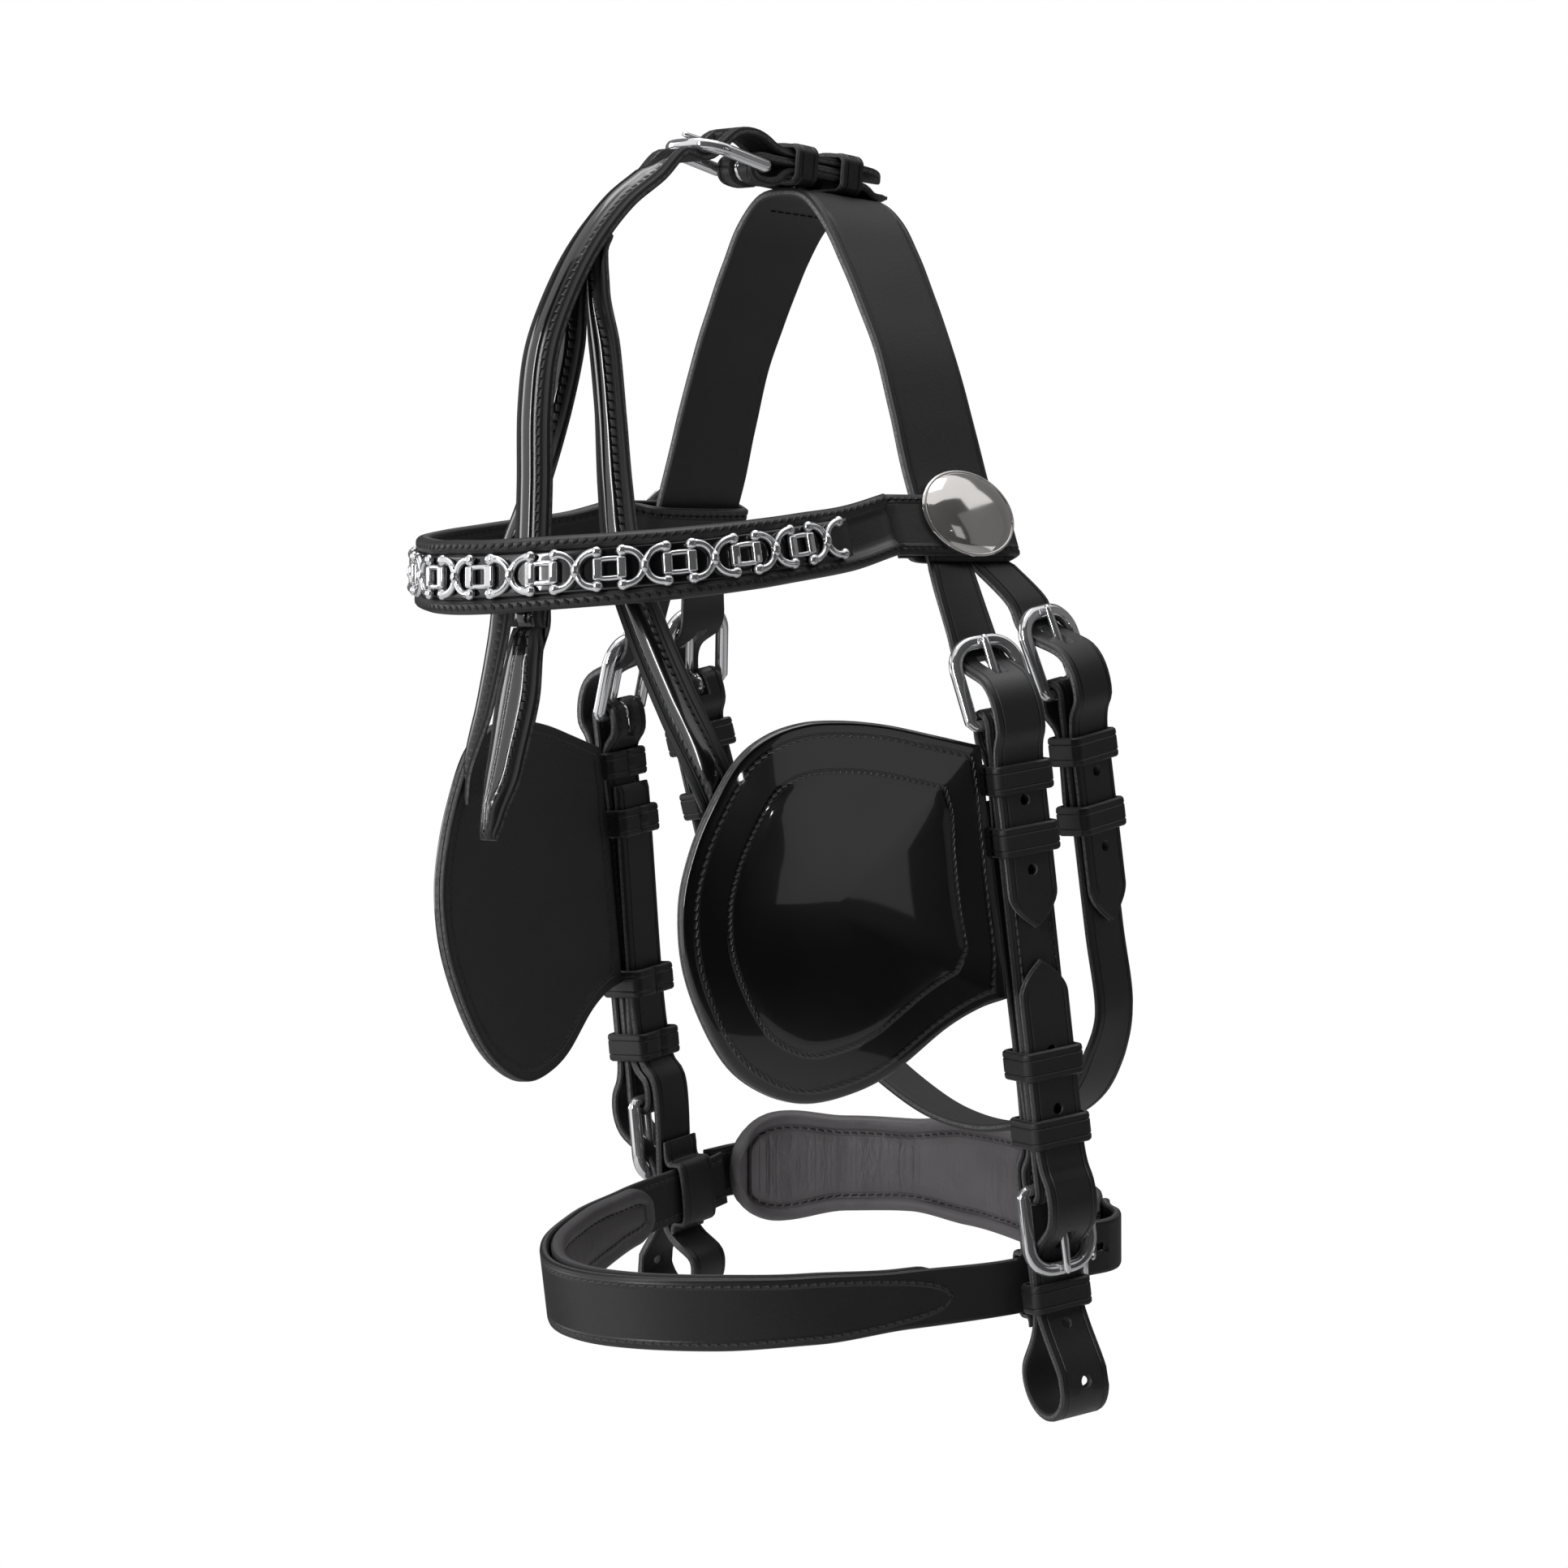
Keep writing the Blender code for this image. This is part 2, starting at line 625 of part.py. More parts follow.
def billet_leg(side, start, place, buckle, stop, holes, bend):
    """Path, directions, widths and slots of one headpiece leg and its billet."""
    first = [start] + bend
    rows = buckle.line(billet_points()) + place.line(billet_settles())
    tail, tail_widths = billet_end(place, CHAPE_CLOSED, stop, holes, STRAP_WIDTH)
    path = first + rows + tail
    across = []
    turning = len(first) + 1
    for i in range(len(path)):
        share = min(i / turning, 1.0)
        across.append((FORWARD * (1 - share) + place.fore * share).normalized())
    widths = [STRAP_WIDTH] * (len(first) + len(rows)) + tail_widths
    slot = len(first) + 2
    spots = [(len(first) + len(rows) + 1 + 2 * k, HOLE_RADIUS, HOLE_RADIUS)
             for k in range(len(holes))]
    thick = [HEAD_THICK] + [STRAP_THICK] * (len(path) - 1)
    return path, across, widths, thick, ((slot, slot + 1, SLOT_HALF),), spots


def headpiece():
    half = [Vector(p) for p in HEAD_ARCH]
    left = head_side(1)
    half += [left.at(-0.018, 0.0), left.at(0.0, 0.0), left.at(SPLIT_BELOW, 0.0)]
    narrow = 2 * STRAP_WIDTH
    widths = list(HEAD_TAPER) + [narrow] * 3
    widths = widths[:0:-1] + widths
    path = both_sides(half)
    last = len(path) - 1
    across = []
    for i in range(len(half)):
        share = min(i / 3, 1.0)
        across.append((crown_place().along * (share - 1) + FORWARD * share).normalized())
    across = across[:0:-1] + across
    ends = (-head_side(-1).out, -left.out)
    verts, faces = strap_faces(path, across, widths, HEAD_THICK, caps=(False, False),
                               ends=ends, forked=(0, last))
    for side in (-1, 1):
        beside = head_side(side)
        split = beside.at(SPLIT_BELOW, 0.0)
        for leg in (1, -1):
            start = split + FORWARD * leg * STRAP_WIDTH / 2
            if leg > 0:
                place = cheek_place(side)
                buckle = cheek_buckle(side)
                stop = CHEEK_BILLET_END
                holes = (0.0285, 0.0520)
                bend = [mirror((0.0790, -0.0100, -0.1350), side)]
            else:
                place = throat_place(side)
                buckle = throat_buckle(side)
                stop = THROAT_BILLET_END
                holes = (0.0300, 0.0560)
                bend = []
            path, across, wide, thick, slots, spots = billet_leg(
                side, start, place, buckle, stop, holes, bend)
            more, extra = strap_faces(path, across, wide, thick, caps=(False, True),
                                      ends=(-beside.out * side, None), slots=slots,
                                      holes=spots, offset=len(verts))
            verts += more
            faces += extra
    return solid("headpiece", verts, faces, BLACK_LEATHER)


# Buckles on the cheeks, throatlatch, crown and noseband


def cheek_buckle(side):
    place = cheek_place(side)
    return buckle_place(place.origin, mirror(CHEEK_TOE_POINT, side), place, side)


def throat_buckle(side):
    place = throat_place(side)
    return buckle_place(place.origin, mirror(THROAT_TOE_POINT, side), place, side)


def cheek_length(side):
    return CHEEK_LENGTH - side_drop(side)


def bit_buckle(side):
    place = cheek_place(side)
    bar = place.at(cheek_length(side), 0.0)
    return buckle_place(bar, bar + place.along, place, side)


def cheek_side(side):
    """Cheek strap, bit strap, buckles, keepers and noseband loop of one side."""
    name = tag(side)
    place = cheek_place(side)
    upper = cheek_buckle(side)
    lower = bit_buckle(side)
    length = cheek_length(side)
    drop = side_drop(side)
    buckle_frame("cheek_buckle_frame_" + name, upper, STRAP_WIDTH)
    buckle_tongue("cheek_buckle_tongue_" + name, upper)
    buckle_frame("bit_buckle_frame_" + name, lower, STRAP_WIDTH)
    buckle_tongue("bit_buckle_tongue_" + name, lower)

    ends = chape_points(CHAPE_BACK)
    size = len(ends)
    path = place.line(ends + flipped(ends, length))
    slots = ((2, size - 1, SLOT_HALF), (size, 2 * size - 3, SLOT_HALF))
    strap("cheek_strap_" + name, path, place.fore, STRAP_WIDTH, STRAP_THICK,
          BLACK_LEATHER, slots=slots)

    inner = WRAP - 2 * LAYER
    deep = UNDER_TOE - LAYER
    middle = (deep + UNDER_TOE) / 2
    fork = length + BIT_FORK
    raised = 0.0 if side > 0 else RIGHT_LOOP_RAISE
    centre = BIT_LOOP_END - drop - raised - STRAP_THICK / 2 - BIT_LOOP_RADIUS
    side_view = [(BIT_STRAP_TOP, inner), (length - 0.0145, inner), (length - 0.0070, deep),
                 (fork, deep)]
    loop = arc((centre, middle), BIT_LOOP_RADIUS, -120, 120, 8)
    side_view += loop
    side_view.append((fork, UNDER_TOE))
    climb = [(length + a, n) for a, n in billet_points()]
    climb += [(length - a, n) for a, n in billet_settles()]
    slot_at = len(side_view) + 2
    side_view += climb
    path = place.line(side_view)
    start = length - CHAPE_CLOSED
    stop = BIT_BILLET_END - drop * 0.35
    first_hole = length - BIT_HOLE_ABOVE
    last_hole = stop + POINT_REACH + HOLE_STATION
    spots = (first_hole, max(first_hole - BIT_HOLE_PITCH, last_hole))
    tail, widths = billet_end(place, start, stop, spots, STRAP_WIDTH)
    hole_stations = [(len(path) + 1 + 2 * k, HOLE_RADIUS, HOLE_RADIUS)
                     for k in range(len(spots))]
    widths = [STRAP_WIDTH] * len(path) + widths
    strap("bit_strap_" + name, path + tail, place.fore, widths, STRAP_THICK,
          BLACK_LEATHER, slots=((slot_at, slot_at + 1, SLOT_HALF),), holes=hole_stations)

    skin = STRAP_THICK / 2
    ret = WRAP - LAYER
    keeper("cheek_fixed_keeper_" + name, place, CHEEK_KEEPER_AT, ret - skin, OVER + skin,
           STRAP_WIDTH, BLACK_LEATHER)
    keeper("cheek_runner_" + name, place, CHEEK_RUNNER_AT, inner - skin, OVER + skin,
           STRAP_WIDTH, BLACK_LEATHER)
    keeper("bit_runner_" + name, place, BIT_RUNNER_AT - drop, inner - skin, OVER + skin,
           STRAP_WIDTH, BLACK_LEATHER)
    keeper("bit_fixed_keeper_" + name, place, BIT_KEEPER_AT - drop, inner - skin,
           OVER + skin, STRAP_WIDTH, BLACK_LEATHER)
    keeper("bit_loop_keeper_" + name, place, LOOP_KEEPER_AT - drop, deep - skin,
           UNDER_TOE + skin, STRAP_WIDTH, BLACK_LEATHER)

    at = NOSEBAND_AT - drop
    low = deep - skin - FIT_GAP - LOOP_THICK / 2
    far = noseband_depth() - skin - FIT_GAP - LOOP_THICK / 2
    half = STRAP_WIDTH / 2 + FIT_GAP + LOOP_THICK / 2
    side_view = [(at - half - LOOP_TAB_UP, low), (at - half, low), (at - half, far),
                 (at + half, far), (at + half, low), (at + half + LOOP_TAB_DOWN, low)]
    strap("noseband_loop_" + name, place.line(side_view), place.fore, STRAP_WIDTH,
          LOOP_THICK, BLACK_LEATHER)


def noseband_depth():
    """How far inside the cheek the noseband lies."""
    return (UNDER_TOE - LAYER - STRAP_THICK - FIT_GAP - KEEPER_WALL - FIT_GAP)


def throat_side(side):
    name = tag(side)
    place = throat_place(side)
    buckle = throat_buckle(side)
    skin = STRAP_THICK / 2
    ret = WRAP - LAYER
    buckle_frame("throat_buckle_frame_" + name, buckle, STRAP_WIDTH)
    buckle_tongue("throat_buckle_tongue_" + name, buckle)
    keeper("throat_fixed_keeper_" + name, place, THROAT_KEEPER_AT, ret - skin,
           OVER + skin, STRAP_WIDTH, BLACK_LEATHER)
    keeper("throat_runner_" + name, place, THROAT_RUNNER_AT, ret - skin, OVER + skin,
           STRAP_WIDTH, BLACK_LEATHER)


def throatlatch():
    left = throat_place(1)
    right = throat_place(-1)
    ends = chape_points(THROAT_BACK)
    size = len(ends)
    path = left.line(ends)
    path.append(left.at(THROAT_STRAIGHT_LEFT, WRAP))
    under = [Vector(p) for p in THROAT_CURVE]
    path += under
    path.append(right.at(THROAT_STRAIGHT_RIGHT, WRAP))
    path += right.line(reversed(ends))
    across = [left.fore] * (size + 1) + [FORWARD] * len(under) + [right.fore] * (size + 1)
    last = len(path) - 1
    slots = ((2, size - 1, SLOT_HALF), (last - size + 1, last - 2, SLOT_HALF))
    strap("throatlatch", path, across, STRAP_WIDTH, STRAP_THICK, BLACK_LEATHER, slots=slots)


# Crown: chape, buckle, keepers and the forehead strap


def crown_place():
    lift = HEAD_THICK + 2 * FIT_GAP + KEEPER_WALL + STRAP_THICK / 2 - (WRAP - LAYER)
    along = Vector((0.0, math.cos(POLL_TILT), -math.sin(POLL_TILT)))
    out = Vector((0.0, math.sin(POLL_TILT), math.cos(POLL_TILT)))
    return Place(out * lift - along * CROWN_BAR_AHEAD, along, out)


def crown_buckle():
    place = crown_place()
    return buckle_place(place.origin, place.origin + Vector(CROWN_TOE_WAY), place)


def crown():
    place = crown_place()
    buckle = crown_buckle()
    skin = STRAP_THICK / 2
    ret = WRAP - LAYER
    buckle_frame("crown_buckle_frame", buckle, STRAP_WIDTH)
    buckle_tongue("crown_buckle_tongue", buckle)
    keeper("crown_fixed_keeper", place, CROWN_KEEPER_AT, ret - skin, OVER + skin,
           STRAP_WIDTH, BLACK_LEATHER)
    keeper("crown_runner", place, CROWN_RUNNER_AT, ret - skin, OVER + skin, STRAP_WIDTH,
           BLACK_LEATHER)
    seat = ret - 2 * FIT_GAP / 2 - KEEPER_WALL
    side_view = [(CROWN_SEWN, seat), (CROWN_SEWN - 0.006, seat), (CROWN_SEWN - 0.0105, ret)]
    side_view += chape_points(CHAPE_BACK)[1:]
    side_view.append((CROWN_CHAPE_TOP, WRAP))
    slot = (4, 4 + WRAP_STEPS + 1, SLOT_HALF)
    strap("crown_chape", place.line(side_view), place.fore, STRAP_WIDTH, STRAP_THICK,
          BLACK_LEATHER, slots=(slot,))


def forehead_strap():
    place = crown_place()
    buckle = crown_buckle()
    path = [Vector(p) for p in FOREHEAD_LINE]
    first = len(path)
    path += buckle.line(billet_points()) + place.line(billet_settles())
    slot = (first + 2, first + 3, SLOT_HALF)
    path.append(place.at(CHAPE_CLOSED, OVER))
    path.append(place.at(0.0300, OVER))
    path.append(place.at(0.0300 + HOLE_STATION, OVER))
    path.append(place.at(CROWN_CHAPE_TOP, OVER))
    path.append(place.at(CROWN_TIP - 0.006, OVER - 0.0025))
    path.append(place.at(CROWN_TIP, OVER - 0.0045))
    widths = [FOREHEAD_WIDTH] * (len(path) - 2)
    widths += [FOREHEAD_WIDTH * 0.70, FOREHEAD_WIDTH * 0.2]
    hole = len(path) - 5
    strap("forehead_strap", path, Vector((1.0, 0.0, 0.0)), widths, STRAP_THICK, PATENT,
          slots=(slot,), holes=((hole, HOLE_RADIUS, HOLE_RADIUS),))


def face_drop():
    path = [Vector(p) for p in DROP_LINE]
    top = path[0]
    verts, faces = strap_faces(path, Vector((1.0, 0.0, 0.0)), list(DROP_WIDTHS),
                               list(DROP_THICKS))
    solid("face_drop", verts, faces, PATENT, top)


# Browband with its inlay and chain


def browband_path():
    half = [Vector(p) for p in BROWBAND_LINE]
    beside = head_side(1)
    flush = HEAD_THICK / 2 + FIT_GAP + BROWBAND_LOOP_THICK / 2
    edge = STRAP_WIDTH + FIT_GAP + BROWBAND_LOOP_THICK / 2 + 0.0004
    step = BROWBAND_LOOP_THICK + FIT_GAP
    low = BROWBAND_BELOW
    half += [beside.at(low, flush, edge + 0.0150), beside.at(low, flush, -edge),
             beside.at(low, -flush, -edge), beside.at(low, -flush, edge),
             beside.at(low, flush - step, edge + 0.0070),
             beside.at(low, flush - step, edge + 0.0120)]
    return half


def browband():
    half = browband_path()
    path = both_sides(half)
    plain = len(BROWBAND_LINE)
    across = []
    for i in range(len(half)):
        share = min(max(i - 2, 0) / (plain - 2), 1.0)
        across.append((DOWN * (1 - share) + Vector(HEAD_SLOPE) * share).normalized())
    across = [mirror(a, -1) for a in across[:0:-1]] + across
    high = [BROWBAND_HEIGHT - (BROWBAND_HEIGHT - BROWBAND_END_HEIGHT) * min(i / plain, 1.0)
            for i in range(len(half))]
    thick = [BROWBAND_THICK] * plain + [BROWBAND_LOOP_THICK] * (len(half) - plain)
    strap("browband", path, across, high[:0:-1] + high, thick[:0:-1] + thick,
          BLACK_LEATHER)
    front = path[len(half) - plain:len(half) + plain - 1]
    lean = across[len(half) - plain:len(half) + plain - 1]
    reach = (BROWBAND_THICK + INLAY_THICK) / 2 + FIT_GAP
    skin = offset(front, lean, reach)
    if skin[plain - 1].y > front[plain - 1].y:
        reach = -reach
        skin = offset(front, lean, reach)
    strap("browband_inlay", skin, lean, INLAY_HEIGHT, INLAY_THICK, PATENT)
    reach += math.copysign((INLAY_THICK + CHAIN_THICK) / 2 + FIT_GAP, reach)
    line, tall = chain_points(offset(front, lean, reach))
    lean, _ = chain_points(lean)
    strap("browband_chain", line, lean, tall, CHAIN_THICK, CHROME)


def rosette(side):
    place = head_side(side)
    base = (HEAD_THICK / 2 + FIT_GAP + BROWBAND_LOOP_THICK + FIT_GAP)
    rings = ((0.90, 0.0), (1.0, 0.0006), (1.0, 0.0013), (0.86, 0.0036), (0.58, 0.0053),
             (0.28, ROSETTE_DOME))
    steps = 20
    verts = [place.at(0.0, base)]
    for scale, lift in rings:
        for i in range(steps):
            turn = 2 * math.pi * i / steps
            verts.append(place.at(ROSETTE_HEIGHT / 2 * scale * math.cos(turn), base + lift,
                                  ROSETTE_LENGTH / 2 * scale * math.sin(turn)))
    verts.append(place.at(0.0, base + ROSETTE_DOME * 1.05))
    top = len(verts) - 1
    faces = []
    for i in range(steps):
        k = (i + 1) % steps
        faces.append([0, 1 + i, 1 + k])
        for r in range(len(rings) - 1):
            low = 1 + r * steps
            faces.append([low + i, low + k, low + steps + k, low + steps + i])
        low = 1 + (len(rings) - 1) * steps
        faces.append([low + i, low + k, top])
    solid("rosette_" + tag(side), verts, faces, CHROME)


# Noseband, jaw strap and pad


def noseband_points():
    """Path from the right end round the front to the left billet."""
    left = cheek_place(1)
    right = cheek_place(-1)
    depth = noseband_depth()
    at_left = NOSEBAND_AT
    at_right = NOSEBAND_AT - side_drop(-1)
    path = [Vector(NOSEBAND_RIGHT_END)]
    path.append(right.at(at_right, depth, -NOSEBAND_REACH))
    path.append(right.at(at_right, depth, NOSEBAND_REACH))
    path += [Vector(p) for p in NOSEBAND_LINE]
    path.append(left.at(at_left, depth, NOSEBAND_REACH))
    path.append(left.at(at_left, depth, -NOSEBAND_REACH))
    return path


def noseband_strap_place():
    """Frame at the noseband buckle: along runs back round the jaw."""
    toe = Vector(NOSEBAND_TOE_WAY)
    out = Vector((-toe.y, toe.x, 0.0))
    return Place(NOSEBAND_BAR, -toe, out)


def noseband_buckle():
    place = noseband_strap_place()
    return buckle_place(place.origin, place.origin + Vector(NOSEBAND_TOE_WAY), place)


def noseband():
    path = noseband_points()
    place = noseband_strap_place()
    buckle = noseband_buckle()
    lean = cheek_place(1).along
    drop = place.fore if place.fore.z < 0 else -place.fore
    first = len(path)
    widths = [STRAP_WIDTH] * 3 + list(NOSEBAND_TALL) + [STRAP_WIDTH] * 2
    across = [lean] * first
    path += buckle.line(billet_points()) + place.line(billet_settles())
    slot = (first + 2, first + 3, SLOT_HALF)
    path += [place.at(CHAPE_CLOSED, OVER), place.at(NOSEBAND_TIP - POINT_REACH, OVER),
             place.at(NOSEBAND_TIP - POINT_REACH * 0.35, OVER),
             place.at(NOSEBAND_TIP, OVER)]
    rest = len(path) - first
    across += [drop] * rest
    widths += [STRAP_WIDTH] * (rest - 2) + [STRAP_WIDTH * 0.62, STRAP_WIDTH * 0.16]
    strap("noseband", path, across, widths, STRAP_THICK, BLACK_LEATHER, slots=(slot,))
    buckle_frame("noseband_buckle_frame", buckle, STRAP_WIDTH)
    buckle_tongue("noseband_buckle_tongue", buckle)
    inside = path[3:3 + len(NOSEBAND_LINE)]
    reach = (STRAP_THICK + NOSE_PAD_THICK) / 2 + FIT_GAP
    inward = 1
    pad = offset(inside, lean, reach)
    if pad[len(pad) // 2].y < inside[len(pad) // 2].y:
        inward = -1
        pad = offset(inside, lean, -reach)
    tall = [w - NOSE_PAD_INSET for w in NOSEBAND_TALL]
    soft_pad("noseband_padding", pad, lean, tall, NOSE_PAD_THICK, inward, LINING)


def jaw():
    place = noseband_strap_place()
    ends = chape_points(JAW_BACK)
    drop = place.fore if place.fore.z < 0 else -place.fore
    path = place.line(ends) + [place.at(JAW_STRAIGHT, WRAP)]
    line = [Vector(p) for p in JAW_LINE]
    across = [drop] * len(path)
    for i in range(len(line)):
        share = min((i + 1) / 3, 1.0)
        across.append((drop * (1 - share) + DOWN * share).normalized())
    path += line
    size = len(ends)
    strap("jaw_strap", path, across, STRAP_WIDTH, STRAP_THICK, BLACK_LEATHER,
          slots=((2, size - 1, SLOT_HALF),))
    inside = path[size:]
    lean = across[size:]
    reach = (STRAP_THICK + JAW_PAD_THICK) / 2 + 2 * FIT_GAP
    inward = 1
    pad = offset(inside, lean, reach)
    if pad[len(pad) // 2].y > inside[len(pad) // 2].y:
        inward = -1
        pad = offset(inside, lean, -reach)
    pad[0] = pad[0].lerp(pad[1], 0.25)
    pad[-1] = pad[-2].lerp(pad[-1], 0.4)
    soft_pad("jaw_pad", pad, lean, JAW_PAD_TALL, JAW_PAD_THICK, inward, LINING)


# Winkers and their stays


def winker_place(side):
    """Hinge of a winker: along down its sewn edge, fore across the winker."""
    place = cheek_place(side)
    edge = STRAP_WIDTH / 2 + FIT_GAP + KEEPER_WALL + WINKER_GAP
    drop = 0.0 if side > 0 else WINKER_RIGHT_DROP
    turn = 0.0 if side > 0 else WINKER_RIGHT_TURN
    hinge = place.at(drop, WRAP - LAYER / 2, edge)
    out = place.out * math.cos(turn) + place.fore * math.sin(turn)
    fore = place.fore * math.cos(turn) - place.out * math.sin(turn)
    own = Place(hinge, place.along, out, side)
    own.fore = fore
    return own


def winker(side):
    """Patent outer skin, steel plate and lining in one shape, hung on the cheek."""
    name = tag(side)
    place = winker_place(side)
    edge = 0.0
    level = 0.0
    shape = [(edge + f, a) for f, a in WINKER_SHAPE]
    count = len(shape)
    middle = (sum(f for f, _ in shape) / count, sum(a for _, a in shape) / count)
    span = max(f for f, _ in shape) - edge

    def spot(index, scale, lift):
        f = middle[0] + (shape[index][0] - middle[0]) * scale
        a = middle[1] + (shape[index][1] - middle[1]) * scale
        forward = (f - edge) / span
        low = max(a - WINKER_TUCK_FROM, 0.0) / 0.080
        rise = WINKER_DOME * (1 - scale * scale) - WINKER_TUCK * low * low * forward
        return place.at(a, level + rise + lift, f)

    def shell(label, outer, inner, look):
        verts = []
        faces = []
        for rings in (outer, inner):
            base = len(verts)
            for scale, lift in rings:
                for i in range(count):
                    verts.append(spot(i, scale, lift))
            for r in range(len(rings) - 1):
                for i in range(count):
                    k = (i + 1) % count
                    a = base + r * count
                    faces.append([a + i, a + k, a + count + k, a + count + i])
            hub = len(verts)
            verts.append(spot(0, 0.0, rings[-1][1]))
            last = base + (len(rings) - 1) * count
            for i in range(count):
                faces.append([last + i, last + (i + 1) % count, hub])
        second = len(outer) * count + 1
        for i in range(count):
            k = (i + 1) % count
            faces.append([i, k, second + k, second + i])
        return solid(label + name, verts, faces, look, place.origin)

    seam = FIT_GAP / 2
    pocket = seam + WINKER_POCKET - FIT_GAP
    plate_low = seam + 0.0001
    front = ((1.0, seam + WINKER_SKIN), (0.75, seam + WINKER_SKIN + 0.0004),
             (0.40, seam + WINKER_SKIN + 0.0004))
    shell("blinker_outer_", front,
          ((1.0, seam), (0.79, seam), (0.76, pocket), (0.40, pocket)), PATENT)
    shell("blinker_plate_",
          ((0.74, plate_low + WINKER_PLATE), (0.40, plate_low + WINKER_PLATE)),
          ((0.74, plate_low), (0.40, plate_low)), STEEL)
    shell("blinker_lining_", ((1.0, -seam), (0.75, -seam), (0.40, -seam)),
          ((1.0, -seam - LINING_THICK), (0.75, -seam - LINING_THICK),
           (0.40, -seam - LINING_THICK)), BLACK_LEATHER)


def stay_points(side):
    """Seated on the back of the forehead strap, then down to the winker's top edge."""
    lower = Vector(FOREHEAD_LINE[STAY_SEAT])
    upper = Vector(FOREHEAD_LINE[STAY_SEAT + 1])
    back = (upper - lower).cross(Vector((1.0, 0.0, 0.0))).normalized()
    if back.y < 0:
        back = -back
    away = (STRAP_THICK + STAY_THICK) / 2 + FIT_GAP
    path = []
    for share, aside in ((0.45, STAY_ASIDE), (0.08, STAY_ASIDE)):
        spot = lower.lerp(upper, share) + back * away
        path.append(Vector((aside * side, spot.y, spot.z)))
    path += [mirror(p, side) for p in STAY_LINE]
    place = winker_place(side)
    end = place.at(*STAY_END)
    start = path[-1]
    for share, bow in ((0.33, STAY_BOW), (0.68, STAY_BOW * 0.8)):
        spot = start.lerp(end, share)
        path.append(spot + Vector((-bow * side, 0.0, -bow)))
    path.append(end)
    return path


def winker_stay(side):
    path = stay_points(side)
    end = mirror(STAY_END_ACROSS, side) * side
    across = []
    for i in range(len(path)):
        share = min(max(i - STAY_TURN_FROM, 0) / (len(path) - 1 - STAY_TURN_FROM), 1.0)
        across.append((Vector((1.0, 0.0, 0.0)) * (1 - share) + end * share).normalized())
    strap("winker_stay_" + tag(side), path, across, list(STAY_WIDTHS), STAY_THICK, PATENT)


def main():
    clear_scene()
    headpiece()
    crown()
    forehead_strap()
    face_drop()
    browband()
    noseband()
    jaw()
    throatlatch()
    for side in (1, -1):
        rosette(side)
        cheek_side(side)
        throat_side(side)
        winker(side)
        winker_stay(side)


main()
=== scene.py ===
"""Looks of a driving bridle: black strap leather, patent leather, soft lining and chrome.

Metres, +Z up.  The horse faces -Y and its left side is +X.
Straps are cut as flat blanks with bmesh operators and then laid along their routes.
The attribute "cut" of a strap holds: along the strap, inset from its edge, flesh 0 to grain 1.
"""
import bisect
import math

import bmesh
import bpy
from mathutils import Matrix, Vector, noise


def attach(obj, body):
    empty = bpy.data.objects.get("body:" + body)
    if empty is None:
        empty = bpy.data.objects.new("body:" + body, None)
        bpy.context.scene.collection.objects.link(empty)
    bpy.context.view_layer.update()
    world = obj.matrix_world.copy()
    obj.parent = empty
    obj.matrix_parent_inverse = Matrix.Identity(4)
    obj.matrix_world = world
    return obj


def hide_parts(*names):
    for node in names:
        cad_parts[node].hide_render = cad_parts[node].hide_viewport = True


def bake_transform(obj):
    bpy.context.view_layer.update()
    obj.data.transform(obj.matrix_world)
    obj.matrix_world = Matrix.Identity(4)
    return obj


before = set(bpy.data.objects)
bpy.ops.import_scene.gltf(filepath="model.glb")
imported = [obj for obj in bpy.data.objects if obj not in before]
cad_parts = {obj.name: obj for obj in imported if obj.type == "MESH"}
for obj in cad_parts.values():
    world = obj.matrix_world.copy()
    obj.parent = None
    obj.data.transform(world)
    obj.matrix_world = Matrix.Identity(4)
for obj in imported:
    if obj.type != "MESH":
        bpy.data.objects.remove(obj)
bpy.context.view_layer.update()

ROOT = "bridle"
FORWARD = Vector((0.0, -1.0, 0.0))
DOWN = Vector((0.0, 0.0, -1.0))
TO_RIGHT = Vector((-1.0, 0.0, 0.0))
UP = Vector((0.0, 0.0, 1.0))
ACROSS_FACE = Vector((1.0, 0.0, 0.0))
SIDES = ((1, "left"), (-1, "right"))


def mm(*points):
    """Points given in millimetres, as vectors in metres."""
    return [Vector([c / 1000 for c in point]) for point in points]


# Straps and the layers round a buckle bar
STRAP_WIDTH = 0.019
STRAP_THICK = 0.0030
HEAD_THICK = 0.0035
HEAD_WIDTH = 0.039
FOREHEAD_WIDTH = 0.017
STAY_WIDTH = 0.015
STAY_THICK = 0.0026
LOOP_THICK = 0.0022
LINING_THICK = 0.0020
FIT_GAP = 0.0003
BAR_RADIUS = 0.0020
WIRE_RADIUS = 0.0022
FRAME_LENGTH = 0.0285
FRAME_CLEARANCE = 0.0006
TOE_CORNER = 0.0092
FRAME_WIRE = 0.0024
BAR_CORNER = 0.0022
BAR_CORNER_START = BAR_CORNER * 0.7
TONGUE_WIDTH = 0.0036
TONGUE_THICK = 0.0019
EYE_WIRE = 0.0011
EYE_SWEEP = 345
EYE_STEPS = 23
EYE_SPREAD = 0.8
PIN_SPREAD = 0.3
WIRE_FLAT_ABOVE = WIRE_RADIUS * 0.78
WIRE_FLATNESS = 0.25
SLOT_HALF = TONGUE_WIDTH / 2 + 0.0006
KEEPER_WALL = 0.0020
KEEPER_HEIGHT = 0.010
KEEPER_BEND = 0.0013
LAYER = STRAP_THICK + FIT_GAP
WRAP = BAR_RADIUS + FIT_GAP + STRAP_THICK / 2
OVER = WRAP + LAYER
UNDER_TOE = -(WIRE_RADIUS + FIT_GAP + STRAP_THICK / 2)
